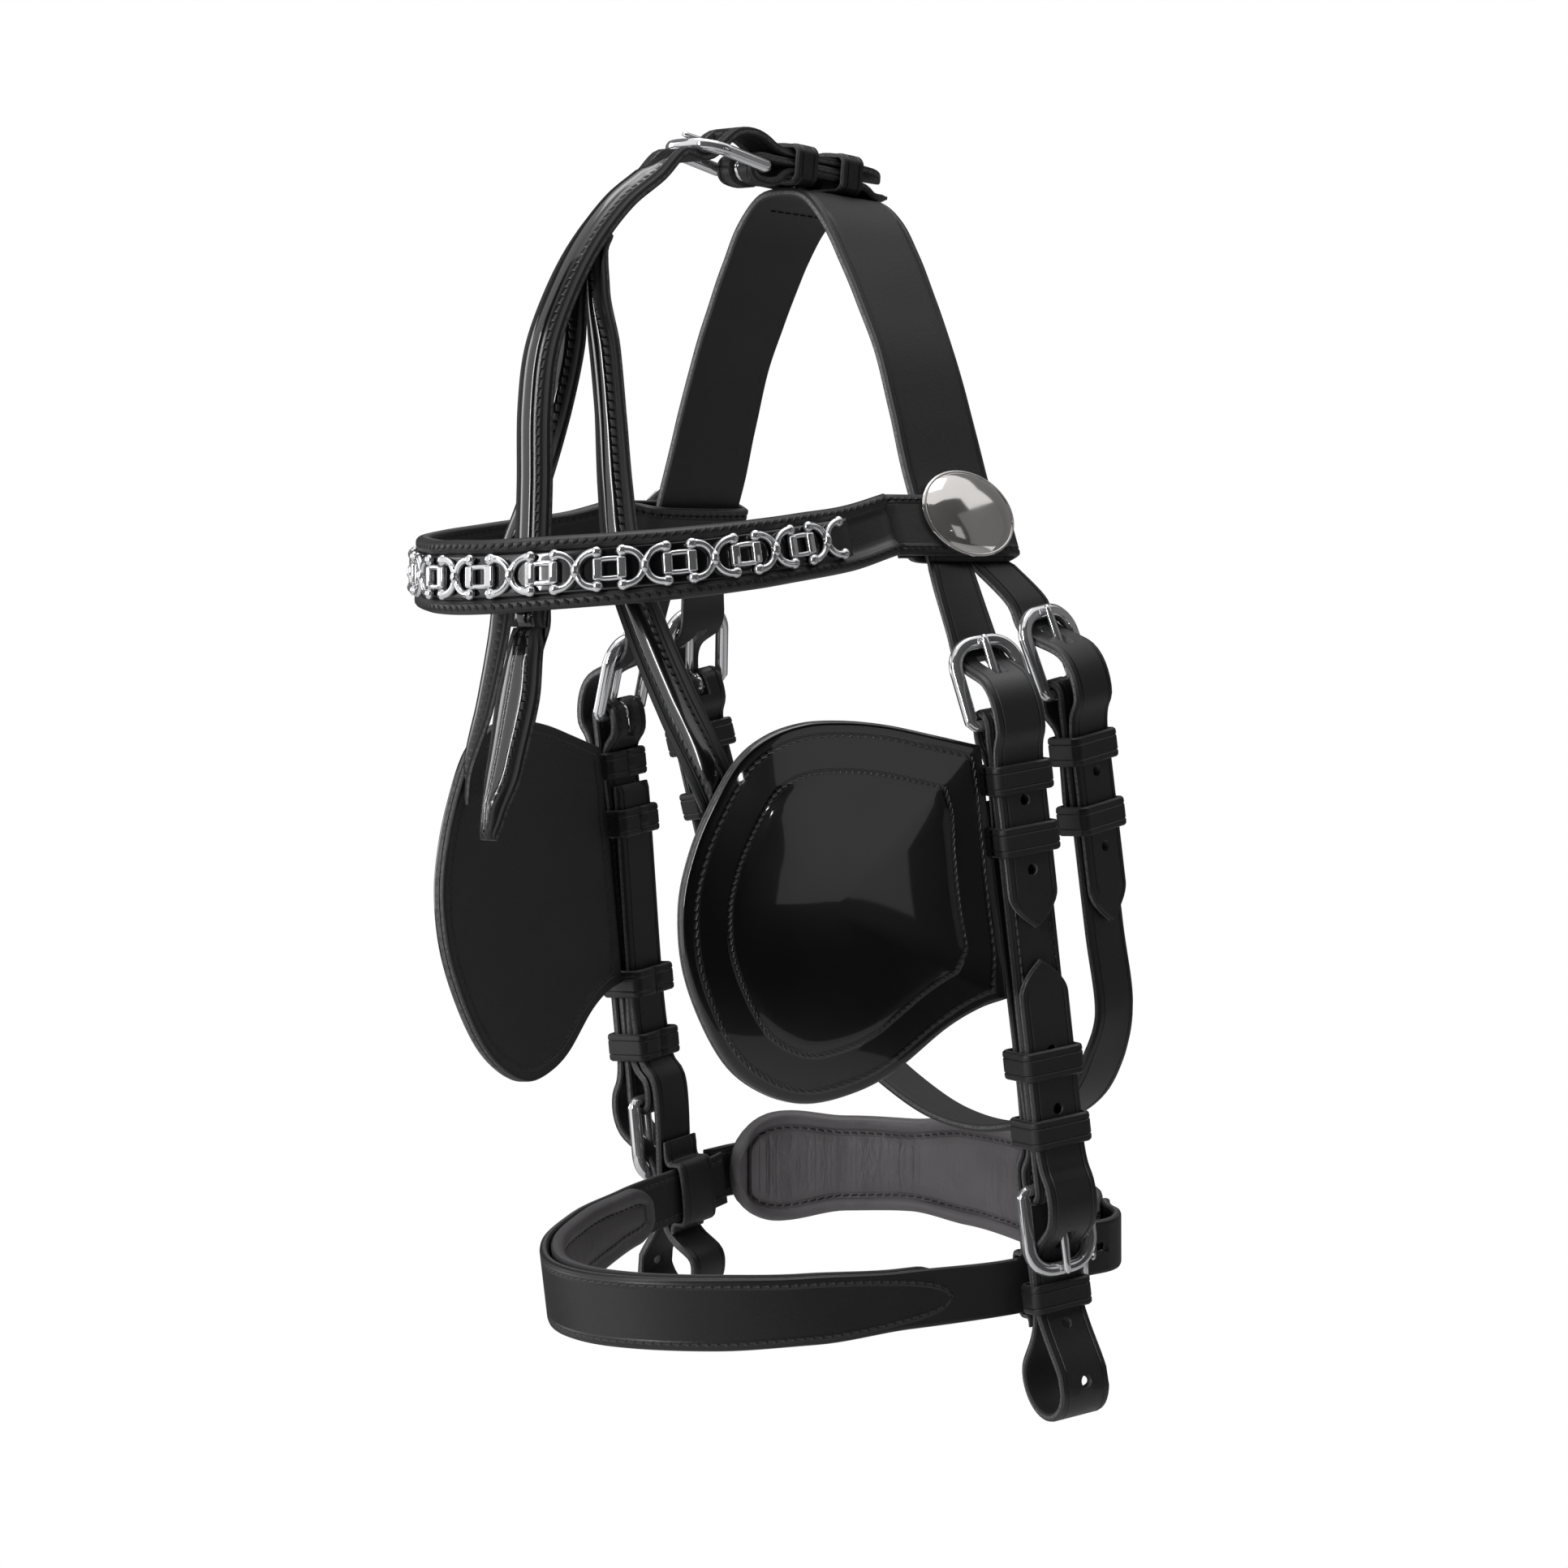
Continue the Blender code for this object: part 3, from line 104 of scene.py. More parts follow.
# A billet from under the toe up through the frame, and from the bar down onto its strap
BILLET_RISES = ((FRAME_LENGTH + 0.0045, UNDER_TOE - 0.0002), (FRAME_LENGTH - 0.0020, UNDER_TOE),
                (FRAME_LENGTH - 0.0068, UNDER_TOE + 0.0020),
                (FRAME_LENGTH - 0.0165, OVER + 0.0020), (0.0050, OVER + 0.0042))
PIN_REST = WIRE_RADIUS + FIT_GAP + TONGUE_THICK / 2
PIN_REACH = FRAME_LENGTH + WIRE_RADIUS * 0.8
BILLET_SETTLES = ((0.0020, OVER + 0.0036), (0.0070, OVER + 0.0012))
# A tongue's pin: length from the bar, how far it lies below its rest, radius
PIN_LINE = ((0.0016, 0.0002, 0.0010), (0.0050, 0.0, 0.00125), (0.0120, 0.0, 0.00130),
            (0.0200, 0.0, 0.00125), (0.0260, 0.0, 0.00110), (PIN_REACH - 0.0014, 0.0, 0.00095),
            (PIN_REACH - 0.0003, 0.0001, 0.00065), (PIN_REACH, 0.0001, 0.00020))
WRAP_STEPS = 6
HOLE_STATION = 0.007
HOLE_RADIUS = 0.0020
HOLE_BLOCK = 0.0030
HOLE_SIDES = 16
SWELL_REACH = 0.011
POINT_REACH = 0.012
POINT_CURVE = 1.8
LEAST_POINT = 0.03
LEAST_END = 0.02
SKIVE_REACH = 0.020
CHAPE_SLOT = 0.0065
CHAPE_CLOSED = 0.0130
CHAPE_BACK = 0.045

# Cheeks, their buckles and what hangs on them
CHEEK_BAR = (0.1003, -0.0085, -0.180)
CHEEK_TOE_POINT = (0.0893, -0.0110, -0.149)
CHEEK_LEAN = {1: (0.0, 0.150), -1: (0.0, 0.120)}
CHEEK_TOE_IN = math.radians(13)
CHEEK_LENGTH = 0.160
CHEEK_BILLET = (0.070, (0.0285, 0.0520))
BIT_BILLET_END = 0.081
CHEEK_KEEPER_AT = 0.0185
CHEEK_RUNNER_AT = 0.0395
BIT_RUNNER_AT = 0.1165
BIT_KEEPER_AT = 0.1400
BIT_STRAP_TOP = 0.026
BIT_DIP = (0.0145, 0.0070)
BIT_LOOP_END = 0.2415
BIT_LOOP_RADIUS = 0.0122
BIT_LOOP_SWEEP = (-106, 98)
BIT_FORK = 0.0480
BIT_OUTER_FORK = 0.0440
BIT_LOOP_HOLES = (0.0010, 0.0028)
LOOP_KEEPER_AT = 0.1985
NOSEBAND_AT = 0.1945
LOOP_TAB_UP = 0.0085
LOOP_TAB_DOWN = 0.0035
LOOP_BEND = 0.0012
RIGHT_LIFT = 0.018
RIGHT_LOOP_RAISE = 0.006
BIT_HOLE_ABOVE = 0.030
BIT_HOLE_PITCH = 0.020
# Share of the right cheek's lift by which its bit billet ends higher
BIT_BILLET_RAISE = 0.35

# Throatlatch
THROAT_BAR = (0.0970, 0.0255, -0.170)
THROAT_TOE_POINT = (0.0885, 0.0215, -0.141)
THROAT_TOE_IN = math.radians(-6)
THROAT_LEAN = {1: (0.0, 0.165), -1: (0.13, 0.19)}
THROAT_BILLET = (0.080, (0.0300, 0.0560))
THROAT_KEEPER_AT = 0.0195
THROAT_RUNNER_AT = 0.0435
THROAT_BACK = 0.040
THROAT_STRAIGHT = {1: 0.112, -1: 0.086}
THROAT_LEVEL = 0.030
THROAT_CURVE = mm((96, 44.5, -295), (86, 45.5, -309), (69, 45.5, -319), (45, 44, -324),
                  (20, 43.5, -321), (-5, 43.5, -311), (-30, 43, -296), (-56, 42, -277),
                  (-75, 41, -264))

# Headpiece
ROSETTE_AT = (0.0690, 0.0, -0.1115)
HEAD_SLOPE = (0.364, 0.0, -0.931)
SPLIT_BELOW = 0.0155
TAPER_ABOVE = 0.018
HEAD_ARCH = ((0.0, 0.0, HEAD_THICK / 2), (0.0110, 0.0, 0.0008), (0.0210, 0.0, -0.0070),
             (0.0300, 0.0, -0.0200), (0.0395, 0.0, -0.0370), (0.0480, 0.0, -0.0540),
             (0.0558, 0.0, -0.0750))
HEAD_TAPER = (0.039, 0.039, 0.039, 0.038, 0.037, 0.036, 0.037)
CHEEK_LEG_BEND = (0.0790, -0.0100, -0.1350)

# Crown, forehead strap and face drop
POLL_TILT = math.radians(6)
CROWN_BAR_AHEAD = 0.037
CROWN_TOE_WAY = (0.0, -0.970, 0.240)
CROWN_KEEPER_AT = 0.0190
CROWN_RUNNER_AT = 0.0405
CROWN_SEWN = 0.0595
CROWN_DIP = (0.006, 0.0105)
CROWN_CHAPE_TOP = 0.0470
CROWN_TIP = 0.0640
CROWN_HOLE = 0.0300
FOREHEAD_BILLET = ((CHAPE_CLOSED, OVER), (CROWN_HOLE, OVER), (CROWN_HOLE + HOLE_STATION, OVER),
                   (CROWN_CHAPE_TOP, OVER), (CROWN_TIP - 0.006, OVER - 0.0006),
                   (CROWN_TIP, OVER - 0.0014))
FOREHEAD_CORE = 0.0034
FOREHEAD_HEM = 0.0042
CORE_SHORT = 0.004
CORE_FADE = 0.010
CROWN_SEAM_ASIDE = 0.0150
CROWN_KEEPER_BEND = 0.0019
CROWN_KEEPER_DOME = 0.0007
SEAM_PITCH = 0.0035
SEAM_THREAD = 0.0004
SEAM_STITCHES = range(-5, 4)
SEAM_SUNK = 0.4
SEAM_STITCH_HALF = SEAM_PITCH * 0.32
SEAM_TIP = SEAM_THREAD * 0.7
FOREHEAD_LINE = mm((0, -133.5, -148), (0, -131.8, -128), (0, -130.6, -101), (0, -130.2, -74),
                   (0, -127.3, -54.6), (0, -119.5, -36.6), (0, -108.8, -19.7), (0, -94.4, -4.4),
                   (0, -80, 5.6))
DROP_LINE = mm((0, -133.7, -148.8), (0, -135, -158), (0, -138.5, -175), (0, -144, -198),
               (0, -149, -214), (0, -150.5, -219))
DROP_WIDTHS = (0.0140, 0.0170, 0.0210, 0.0180, 0.0110, 0.0080)
DROP_THICK = 0.0030
DROP_SWELL = 0.0034
DROP_HEM = 0.0030
DROP_GROOVE = 0.0006
DROP_END_SWELL = 0.2
DROP_TOP_UP = 0.0005
TAB_WIDTHS = (0.0178, 0.0178, 0.0120)
TAB_THICK = 0.0014
TAB_UP = 0.0085
TAB_BEHIND = Vector((0.0, 0.0025, 0.0))

# Browband with its chain, and rosettes
BROWBAND_THICK = 0.0036
BROWBAND_LOOP_THICK = 0.0026
BROWBAND_HEIGHT = 0.025
BROWBAND_END_HEIGHT = 0.022
BROWBAND_BELOW = 0.0035
BROWBAND_RIDGE = 0.0016
BROWBAND_PLAY = 0.0004
BROWBAND_JOIN = 0.0150
BROWBAND_TAIL = (0.0070, 0.0120)
BROWBAND_CORNER = 0.0007
SQUARE_UNDER = math.radians(125)
BROWBAND_LINE = mm((0, -160, -131.5), (14, -158.8, -131.3), (33.8, -149.5, -130),
                   (51.5, -136, -128.5), (65.3, -118, -126.5), (72, -97, -124),
                   (73.6, -75.8, -121.2), (73.6, -54.6, -118.2))
INLAY_HEIGHT = 0.0135
INLAY_THICK = 0.0008
INLAY_LEVEL = BROWBAND_THICK / 2 + 0.0007
INLAY_STEPS = 30
LINK_PITCH = 0.0220
LINK_BEND = 0.0057
LINK_SWEEP = 98
LINK_WIRE = 0.00115
LINKS_EACH_SIDE = 6
LINK_STEPS = 8
LINK_TIP = 0.00175
LINK_APART = 0.0004
LINK_THICKENS = 0.35
LINK_TIP_SHAPE = (1.1, 1.1, 0.9)
LINK_BOSS = 0.0020
LINK_BOSS_AT = (0.0, 0.0, 0.0003)
LINK_BOSS_SHAPE = (0.75, 1.3, 0.85)
CHAIN_LEVEL = BROWBAND_THICK / 2 + 0.0026
JOINER_HIGH = 0.0036
JOINER_BAR = 0.0038
JOINER_WIDE = 0.0030
JOINER_DEEP = 0.0024
JOINER_WIRE = 0.0009
JOINER_ROUND = 0.0007
JOINER_SUNK = 0.0002
# A joiner's bow: places between its bars, and how high it stands there
JOINER_BOW = ((-JOINER_BAR, 0.86), (0.0, 0.90), (JOINER_BAR, 0.86))
ROSETTE_LENGTH = 0.042
ROSETTE_HEIGHT = 0.032
ROSETTE_PROFILE = ((0.0, 0.0), (0.93, 0.0), (0.985, 0.0004), (1.0, 0.0009), (0.985, 0.0014),
                   (0.955, 0.0016), (0.93, 0.0014), (0.90, 0.0019), (0.82, 0.0032),
                   (0.68, 0.0044), (0.50, 0.0053), (0.30, 0.0058), (0.12, 0.0060), (0.0, 0.0060))

# Noseband and jaw strap
NOSEBAND_REACH = 0.0115
NOSEBAND_RIGHT_END = (-0.0893, 0.0330, -0.3515)
NOSEBAND_LINE = mm((-76.5, -28, -361), (-64, -60, -367.5), (-45, -87, -373), (-22, -104, -376.5),
                   (0, -109, -378), (22, -104, -378.5), (45, -87, -378.5), (64, -60, -377.5),
                   (76.5, -28, -375.5))
NOSEBAND_TALL = (0.0200, 0.0235, 0.0250, 0.0250, 0.0250, 0.0250, 0.0250, 0.0235, 0.0200)
NOSE_PAD_THICK = 0.0045
NOSE_PAD_PROUD = 0.0006
NOSE_PAD_CRINKLE = 0.0002
NOSE_PAD_ROUND = 0.012
NOSE_PAD_PAST = 0.4
NOSEBAND_BAR = (0.0660, 0.0650, -0.3620)
NOSEBAND_TOE_WAY = (0.0195, -0.0205, -0.0040)
NOSEBAND_TIP = 0.0270
SEWN_POINT = (0.018, 0.017)
JAW_BACK = 0.0220
JAW_STRAIGHT = 0.0280
JAW_LINE = mm((28, 95.5, -354.5), (4, 100, -350.5), (-23, 98, -348), (-48, 88.5, -347),
              (-69, 73.5, -347), (-85, 56, -348), (-92.2, 43, -349), (-94.8, 28, -351))
JAW_PAD_THICK = 0.0075
JAW_PAD_CRINKLE = 0.0004
JAW_PAD_ROUND = 0.020
JAW_PAD_SHORT = (0.25, 0.4)
JAW_PAD_TALL = (0.0240, 0.0360, 0.0410, 0.0395, 0.0340, 0.0350, 0.0405, 0.0410, 0.0390)
PAD_FLAT = 0.7
PAD_CROWN = 0.32
PAD_PLAIN_EDGE = 0.002
# How fine a pad's folds and wrinkles are, along and upright, and their layer of the noise
PAD_FOLDS = (260, 60, 3.0)
PAD_WRINKLES = (90, 220, 7.0)

# Winkers and their stays
WINKER_GAP = 0.0006
WINKER_SKIN = 0.0025
WINKER_DOME = 0.0035
WINKER_TUCK = 0.0060
WINKER_TUCK_FROM = 0.035
WINKER_TUCK_REACH = 0.080
WINKER_TURN = {1: 0.0, -1: math.radians(8)}
WINKER_DROP = {1: 0.0, -1: 0.0050}
WINKER_PANEL_FROM = 0.0160
WINKER_PANEL_RISE = 0.0045
WINKER_BULGE = 0.0002
WINKER_EDGE = 0.55
WINKER_RINGS = (0.994, 0.987, 0.975, 0.955, 0.935, 0.915, 0.89, 0.86, 0.83, 0.80, 0.775,
                0.75, 0.73, 0.71, 0.69, 0.67, 0.64, 0.60, 0.53, 0.45, 0.35, 0.25, 0.13)
WINKER_SHAPE = mm((0, 6), (17.5, -0.4), (35.5, -6.7), (51.5, -10.5), (66.5, -12), (80.5, -9.8),
                  (92.5, -3.3), (104.5, 10.6), (113, 24), (119, 40), (120, 59.7), (115, 79.4),
                  (106, 97.1), (93, 108.5), (79, 114), (62.5, 113.8), (46, 109.5), (25.5, 98.8),
                  (11.5, 94), (0, 92.5))
STAY_TURN_FROM = 4
STAY_SEAT = 6
STAY_ASIDE = 0.0043
# Shares up its seat on the forehead strap of a stay's first points
STAY_STARTS = (0.45, 0.08)
# Shares of a stay's way to the winker, and how far it bows out and down there
STAY_BOWS = ((0.33, 0.0015), (0.68, 0.0012))
STAY_END_SWELL = 0.1
STAY_END = (-0.0020, -0.0078, 0.0992)
STAY_UNDER = (0.0105, -0.0052, 0.0968)
STAY_FLAT = (-0.98, -0.19)
STAY_LINE = mm((5.8, -107.5, -35), (9.8, -107.8, -56), (14.5, -109.5, -76), (21, -113, -101),
               (30, -117, -126))
STAY_WIDTHS = (0.0080, 0.0080, 0.0105) + (0.0150,) * 8
STAY_SWELL = 0.0030
STAY_HEM = 0.0036
STAY_END_ACROSS = (0.53, 0.60, 0.61)

# Camera and studio; a screen has its place, half size and shade, a lamp its place, width,
# height and power
CAMERA_TURN = 47.5
CAMERA_REACH = 1.9
CAMERA_HEIGHT = -0.140
CAMERA_LENS = 123.9
CAMERA_SHIFT = (-0.0238, -0.1154)
FLOOR_HEIGHT = -1.2
FLOOR_HALF = 2.2
FLOOR_SHADE = 0.86
AMBIENT = 0.42
SCREENS = (("screen_front", (2.6, -3.4, 0.6), 3.4, 0.02),
           ("screen_left", (3.4, 0.0, 0.6), 3.4, 0.02),
           ("screen_right", (-3.4, 0.6, 0.6), 3.4, 0.16),
           ("screen_back", (-1.6, 3.4, 0.6), 3.4, 0.40),
           ("screen_corner", (2.3, -2.3, 0.6), 3.4, 0.02),
           ("screen_grey", (2.35, 2.75, 0.3), 1.7, 0.40))
LAMPS = (("strip_lamp", (0.25, -2.3, 0.5), 0.24, 1.7, 28.0),
         ("top_lamp", (-0.2, 0.1, 1.9), 1.5, 1.2, 17.0),
         ("side_lamp", (2.55, 0.70, -0.02), 0.62, 1.1, 1.0),
         ("bulb_lamp", (2.67, 0.14, -0.10), 0.03, 0.03, 0.1),
         ("far_lamp", (-2.4, -1.1, 0.3), 1.1, 1.6, 14.0))
LAMP_AIM = (0.0, 0.0, -0.2)

# How finely a strap follows its route, and how near its rows may come to each other
ROW_STEP = 0.0025
ROW_TURN = math.radians(10)
ROW_LEAST = 0.0006
FIXED_LEAST = 0.00005
COLUMN_LEAST = 0.00015

# Profile of a strap: insets of its columns, its creases, grooves, ridges and rounded edge
EDGE_COLUMNS = (0.0, 0.0005, 0.0013, 0.0020, 0.0024, 0.0028, 0.0046)
PIPE_WIDTH = 0.0052
PIPE_SWELL = 0.008
PIPE_INNER = 0.75
PIPE_COLUMNS = (0.0013, 0.0026, 0.0039, 0.0048, 0.0052, 0.0060, 0.0075, 0.0095, 0.0115, 0.0135)
SEAM_ROW = 0.0026
CREASE_AT = 0.0024
CREASE_DEPTH = 0.00032
CREASE_HALF = 0.0004
CREASE_LEAST_WIDTH = 0.006
CENTRE_GROOVE_HALF = 0.0009
CENTRE_GROOVE_FLOOR = 0.0004
EDGE_ROUND = 0.0012
GRAIN_EDGE = 0.12
FLESH_EDGE = 0.26
RIDGE_COLUMNS = (0.0034, 0.0040, 0.0050, 0.0055)
HEM_COLUMNS = (0.0, 0.0006, 0.0015)
INNER_SHARES = (0.62, 0.46, 0.30, 0.15)
RIDGE_AT = 0.0024
RIDGE_HALF = 0.0026

# Shares of a pointed or round end at which it has a row of points
TIP_SHARES = (0.04, 0.1, 0.2, 0.3, 0.42, 0.56, 0.72, 0.9)
ROUND_SHARES = (0.01, 0.04, 0.1, 0.18, 0.28, 0.4, 0.55, 0.75, 1.0)

# Finishes
METAL_SHARE = 0.82
PATENT_BLACK = (0.0035, 0.0035, 0.0045)
MATT_ROUGHNESS = 0.6
COAT_ROUGHNESS = 0.03
GROOVE_DEPTH = 0.0003
GROOVE_WIDTH = 2.4
STITCH_PITCH = 0.0032


# Routes


class Place:
    """A local frame on a strap: along, out and fore are unit directions at a point."""

    def __init__(self, origin, along, out, side=1):
        self.origin = Vector(origin)
        self.along = Vector(along).normalized()
        out = Vector(out)
        self.out = (out - self.along * out.dot(self.along)).normalized()
        self.fore = self.along.cross(self.out).normalized() * side

    def at(self, along, out, fore=0.0):
        return self.origin + self.along * along + self.out * out + self.fore * fore

    def line(self, points):
        return [self.at(a, n) for a, n in points]

    def route(self, points):
        return Route(self.line(points), self.fore, -self.out)

    def leaned(self, way):
        """The place of a buckle's frame: leaned, and still square to the strap."""
        place = Place(self.origin, way - self.fore * way.dot(self.fore), self.out)
        place.fore = self.fore
        return place

    def billet(self):
        """Stations of a billet up through the frame and down onto its strap."""
        return self.frame.line(BILLET_RISES) + self.line(BILLET_SETTLES)


def hermite(p1, m1, p2, m2, t):
    """A point on a smooth curve between two points with their directions."""
    return (p1 * (2 * t ** 3 - 3 * t * t + 1) + m1 * (t ** 3 - 2 * t * t + t)
            + p2 * (3 * t * t - 2 * t ** 3) + m2 * (t ** 3 - t * t))


class Route:
    """A smooth line through chosen points, with the width and grain directions."""

    def __init__(self, points, across, grain):
        count = len(points)
        if isinstance(across, Vector):
            across = [across] * count
        self.rows = []
        self.reach = []
        self.stations = []
        self.length = 0.0
        for i in range(count - 1):
            p1 = points[i]
            p2 = points[i + 1]
            p0 = points[i - 1] if i else p1 * 2 - p2
            p3 = points[i + 2] if i + 2 < count else p2 * 2 - p1
            t01 = math.sqrt((p1 - p0).length)
            t12 = math.sqrt((p2 - p1).length)
            t23 = math.sqrt((p3 - p2).length)
            m1 = ((p1 - p0) / t01 - (p2 - p0) / (t01 + t12) + (p2 - p1) / t12) * t12
            m2 = ((p2 - p1) / t12 - (p3 - p1) / (t12 + t23) + (p3 - p2) / t23) * t12
            steps = max(1, math.ceil((p2 - p1).length / ROW_STEP),
                        math.ceil(m1.angle(m2) / ROW_TURN))
            self.stations.append(self.length)
            for k in range(steps + (i == count - 2)):
                t = k / steps
                spot = hermite(p1, m1, p2, m2, t)
                way = (p1 * (6 * t * t - 6 * t) + m1 * (3 * t * t - 4 * t + 1)
                       + p2 * (6 * t - 6 * t * t) + m2 * (3 * t * t - 2 * t))
                wide = across[i].lerp(across[i + 1], t).normalized()
                if self.rows:
                    self.length += (spot - self.rows[-1][0]).length
                self.reach.append(self.length)
                self.rows.append((spot, wide, way.cross(wide).normalized()))
        self.stations.append(self.length)
        if self.rows[0][2].dot(grain) < 0:
            self.rows = [(spot, wide, -out) for spot, wide, out in self.rows]

    def at(self, along, across, out):
        """The point at a length along the route, a width across it and a height."""
        k = min(max(bisect.bisect_right(self.reach, along) - 1, 0), len(self.rows) - 2)
        gap = self.reach[k + 1] - self.reach[k]
        t = (along - self.reach[k]) / gap if gap else 0.0
        a = self.rows[k]
        b = self.rows[k + 1]
        wide = a[1].lerp(b[1], t)
        lift = a[2].lerp(b[2], t).normalized()
        return a[0].lerp(b[0], t) + wide * across + lift * out


def mirror(point, side):
    return Vector((point[0] * side, point[1], point[2]))


def both_sides(half):
    right = [mirror(p, -1) for p in reversed(half[1:])]
    return right + [Vector(p) for p in half]


def offset(path, across, distance):
    """A path moved square to its face by a distance."""
    count = len(path)
    if isinstance(across, Vector):
        across = [across] * count
    normals = []
    for i in range(count - 1):
        step = path[i + 1] - path[i]
        normals.append(step.cross(across[i] + across[i + 1]).normalized())
    moved = []
    for i in range(count):
        before = normals[max(i - 1, 0)]
        after = normals[min(i, count - 2)]
        moved.append(path[i] + (before + after) / (1.0 + before.dot(after)) * distance)
    return moved


def bar_wrap():
    half = math.pi / WRAP_STEPS / 2
    reach = WRAP / math.cos(half)
    return [(reach * math.cos(math.pi / 2 + (2 * i + 1) * half),
             reach * math.sin(math.pi / 2 + (2 * i + 1) * half)) for i in range(WRAP_STEPS)]


def chape_points(back):
    """Turned end from the sewn return layer, round the bar, to the outer layer."""
    points = [(back, WRAP - LAYER), (CHAPE_CLOSED, WRAP - LAYER), (CHAPE_SLOT, -WRAP)]
    points += reversed(bar_wrap())
    points.append((CHAPE_SLOT, WRAP))
    return points


def billet_end(place, start, stop, holes):
    """Stations of a billet past the bar: the hole pairs, the shoulder and the tip."""
    way = 1 if stop > start else -1
    path = [place.at(start, OVER)]
    for spot in holes:
        path.append(place.at(spot - HOLE_STATION / 2 * way, OVER))
        path.append(place.at(spot + HOLE_STATION / 2 * way, OVER))
    return path + [place.at(stop - POINT_REACH * way, OVER), place.at(stop, OVER)]


def hole_spots(route, first):
    """Lengths of a billet's two holes, between their pairs of stations."""
    at = route.stations
    return [(at[k] + at[k + 1]) / 2 for k in (first, first + 2)]


def side_place(bar, toe, lean, toe_in, side):
    """Place at the bar of a buckle beside the head, with its frame leaned to the toe."""
    out = (math.cos(toe_in) * side, -math.sin(toe_in), 0.0)
    place = Place(mirror(bar, side), (-lean[0] * side, lean[1], -1.0), out, side)
    place.frame = place.leaned(mirror(toe, side) - place.origin)
    return place


def cheek_place(side):
    return side_place(CHEEK_BAR, CHEEK_TOE_POINT, CHEEK_LEAN[side], CHEEK_TOE_IN, side)


def throat_place(side):
    return side_place(THROAT_BAR, THROAT_TOE_POINT, THROAT_LEAN[side], THROAT_TOE_IN, side)


def side_drop(side):
    return 0.0 if side > 0 else RIGHT_LIFT


def crown_place():
    lift = HEAD_THICK + 2 * FIT_GAP + KEEPER_WALL + STRAP_THICK / 2 - (WRAP - LAYER)
    along = Vector((0.0, math.cos(POLL_TILT), -math.sin(POLL_TILT)))
    out = Vector((0.0, math.sin(POLL_TILT), math.cos(POLL_TILT)))
    place = Place(out * lift - along * CROWN_BAR_AHEAD, along, out)
    place.frame = place.leaned(Vector(CROWN_TOE_WAY))
    return place


def jaw_place():
    toe = Vector(NOSEBAND_TOE_WAY)
    place = Place(NOSEBAND_BAR, -toe, Vector((-toe.y, toe.x, 0.0)))
    place.frame = place.leaned(toe)
    return place


def head_side(side):
    """Place beside the rosette: along down the headpiece, out away from the head."""
    return Place(mirror(ROSETTE_AT, side), mirror(HEAD_SLOPE, side), (side, 0.0, 0.0), side)


# Shader helpers and finishes


def plug(socket, value):
    """Links a signal to a socket, or sets the socket to a value."""
    if isinstance(value, Signal):
        socket.id_data.links.new(value.socket, socket)
    else:
        socket.default_value = value


def operator(kind, turned=False):
    """A method of Signal that adds one Math node."""
    def act(*values):
        return values[0].math(kind, *(values[::-1] if turned else values))
    return act


class Signal:
    """A shader value used like a number: its arithmetic adds Math nodes to the tree."""

    def __init__(self, socket):
        self.socket = socket

    def math(self, kind, *values):
        made = self.socket.id_data.nodes.new("ShaderNodeMath")
        made.operation = kind
        for socket, value in zip(made.inputs, values):
            plug(socket, value)
        return Signal(made.outputs[0])

    def clamped(self):
        self.socket.node.use_clamp = True
        return self

    __add__ = operator("ADD")
    __sub__ = operator("SUBTRACT")
    __rsub__ = operator("SUBTRACT", turned=True)
    __mul__ = operator("MULTIPLY")
    __truediv__ = operator("DIVIDE")
    __pow__ = operator("POWER")
    __abs__ = operator("ABSOLUTE")
    __lt__ = operator("LESS_THAN")
    __or__ = operator("MAXIMUM")


def signal(tree, kind, outlet, **inputs):
    """One output of a new node whose inputs are set or linked by their labels."""
    made = tree.nodes.new("ShaderNode" + kind)
    for label, value in inputs.items():
        plug(made.inputs[label], value)
    return Signal(made.outputs[outlet])


def attribute(tree, name, outlet):
    reader = tree.nodes.new("ShaderNodeAttribute")
    reader.attribute_name = name
    return Signal(reader.outputs[outlet])


def blend_colour(factor, *colours):
    """A Mix node between two colours, each a signal or three numbers."""
    made = factor.socket.id_data.nodes.new("ShaderNodeMix")
    made.data_type = "RGBA"
    plug(made.inputs[0], factor)
    for socket, colour in zip(made.inputs[6:8], colours):
        plug(socket, colour if isinstance(colour, Signal) else (*colour, 1.0))
    return Signal(made.outputs[2])


def shaded(colour, share):
    return [c * share for c in colour]


def shader_group(name, inputs, outputs):
    """A shader node group of plain numbers: its tree, its inputs as signals, its outlets."""
    tree = bpy.data.node_groups.new(name, "ShaderNodeTree")
    kind = "NodeSocketFloat"
    for label, value in inputs.items():
        socket = tree.interface.new_socket(label, in_out="INPUT", socket_type=kind)
        socket.default_value = value
    for label in outputs:
        tree.interface.new_socket(label, in_out="OUTPUT", socket_type=kind)
    given = tree.nodes.new("NodeGroupInput")
    gives = tree.nodes.new("NodeGroupOutput")
    return tree, [Signal(given.outputs[label]) for label in inputs], gives.inputs


def placed(tree, group, *values):
    """A group's node with its first inputs set or linked; returns its outputs."""
    made = tree.nodes.new("ShaderNodeGroup")
    made.node_tree = group
    for socket, value in zip(made.inputs, values):
        plug(socket, value)
    return [Signal(socket) for socket in made.outputs]


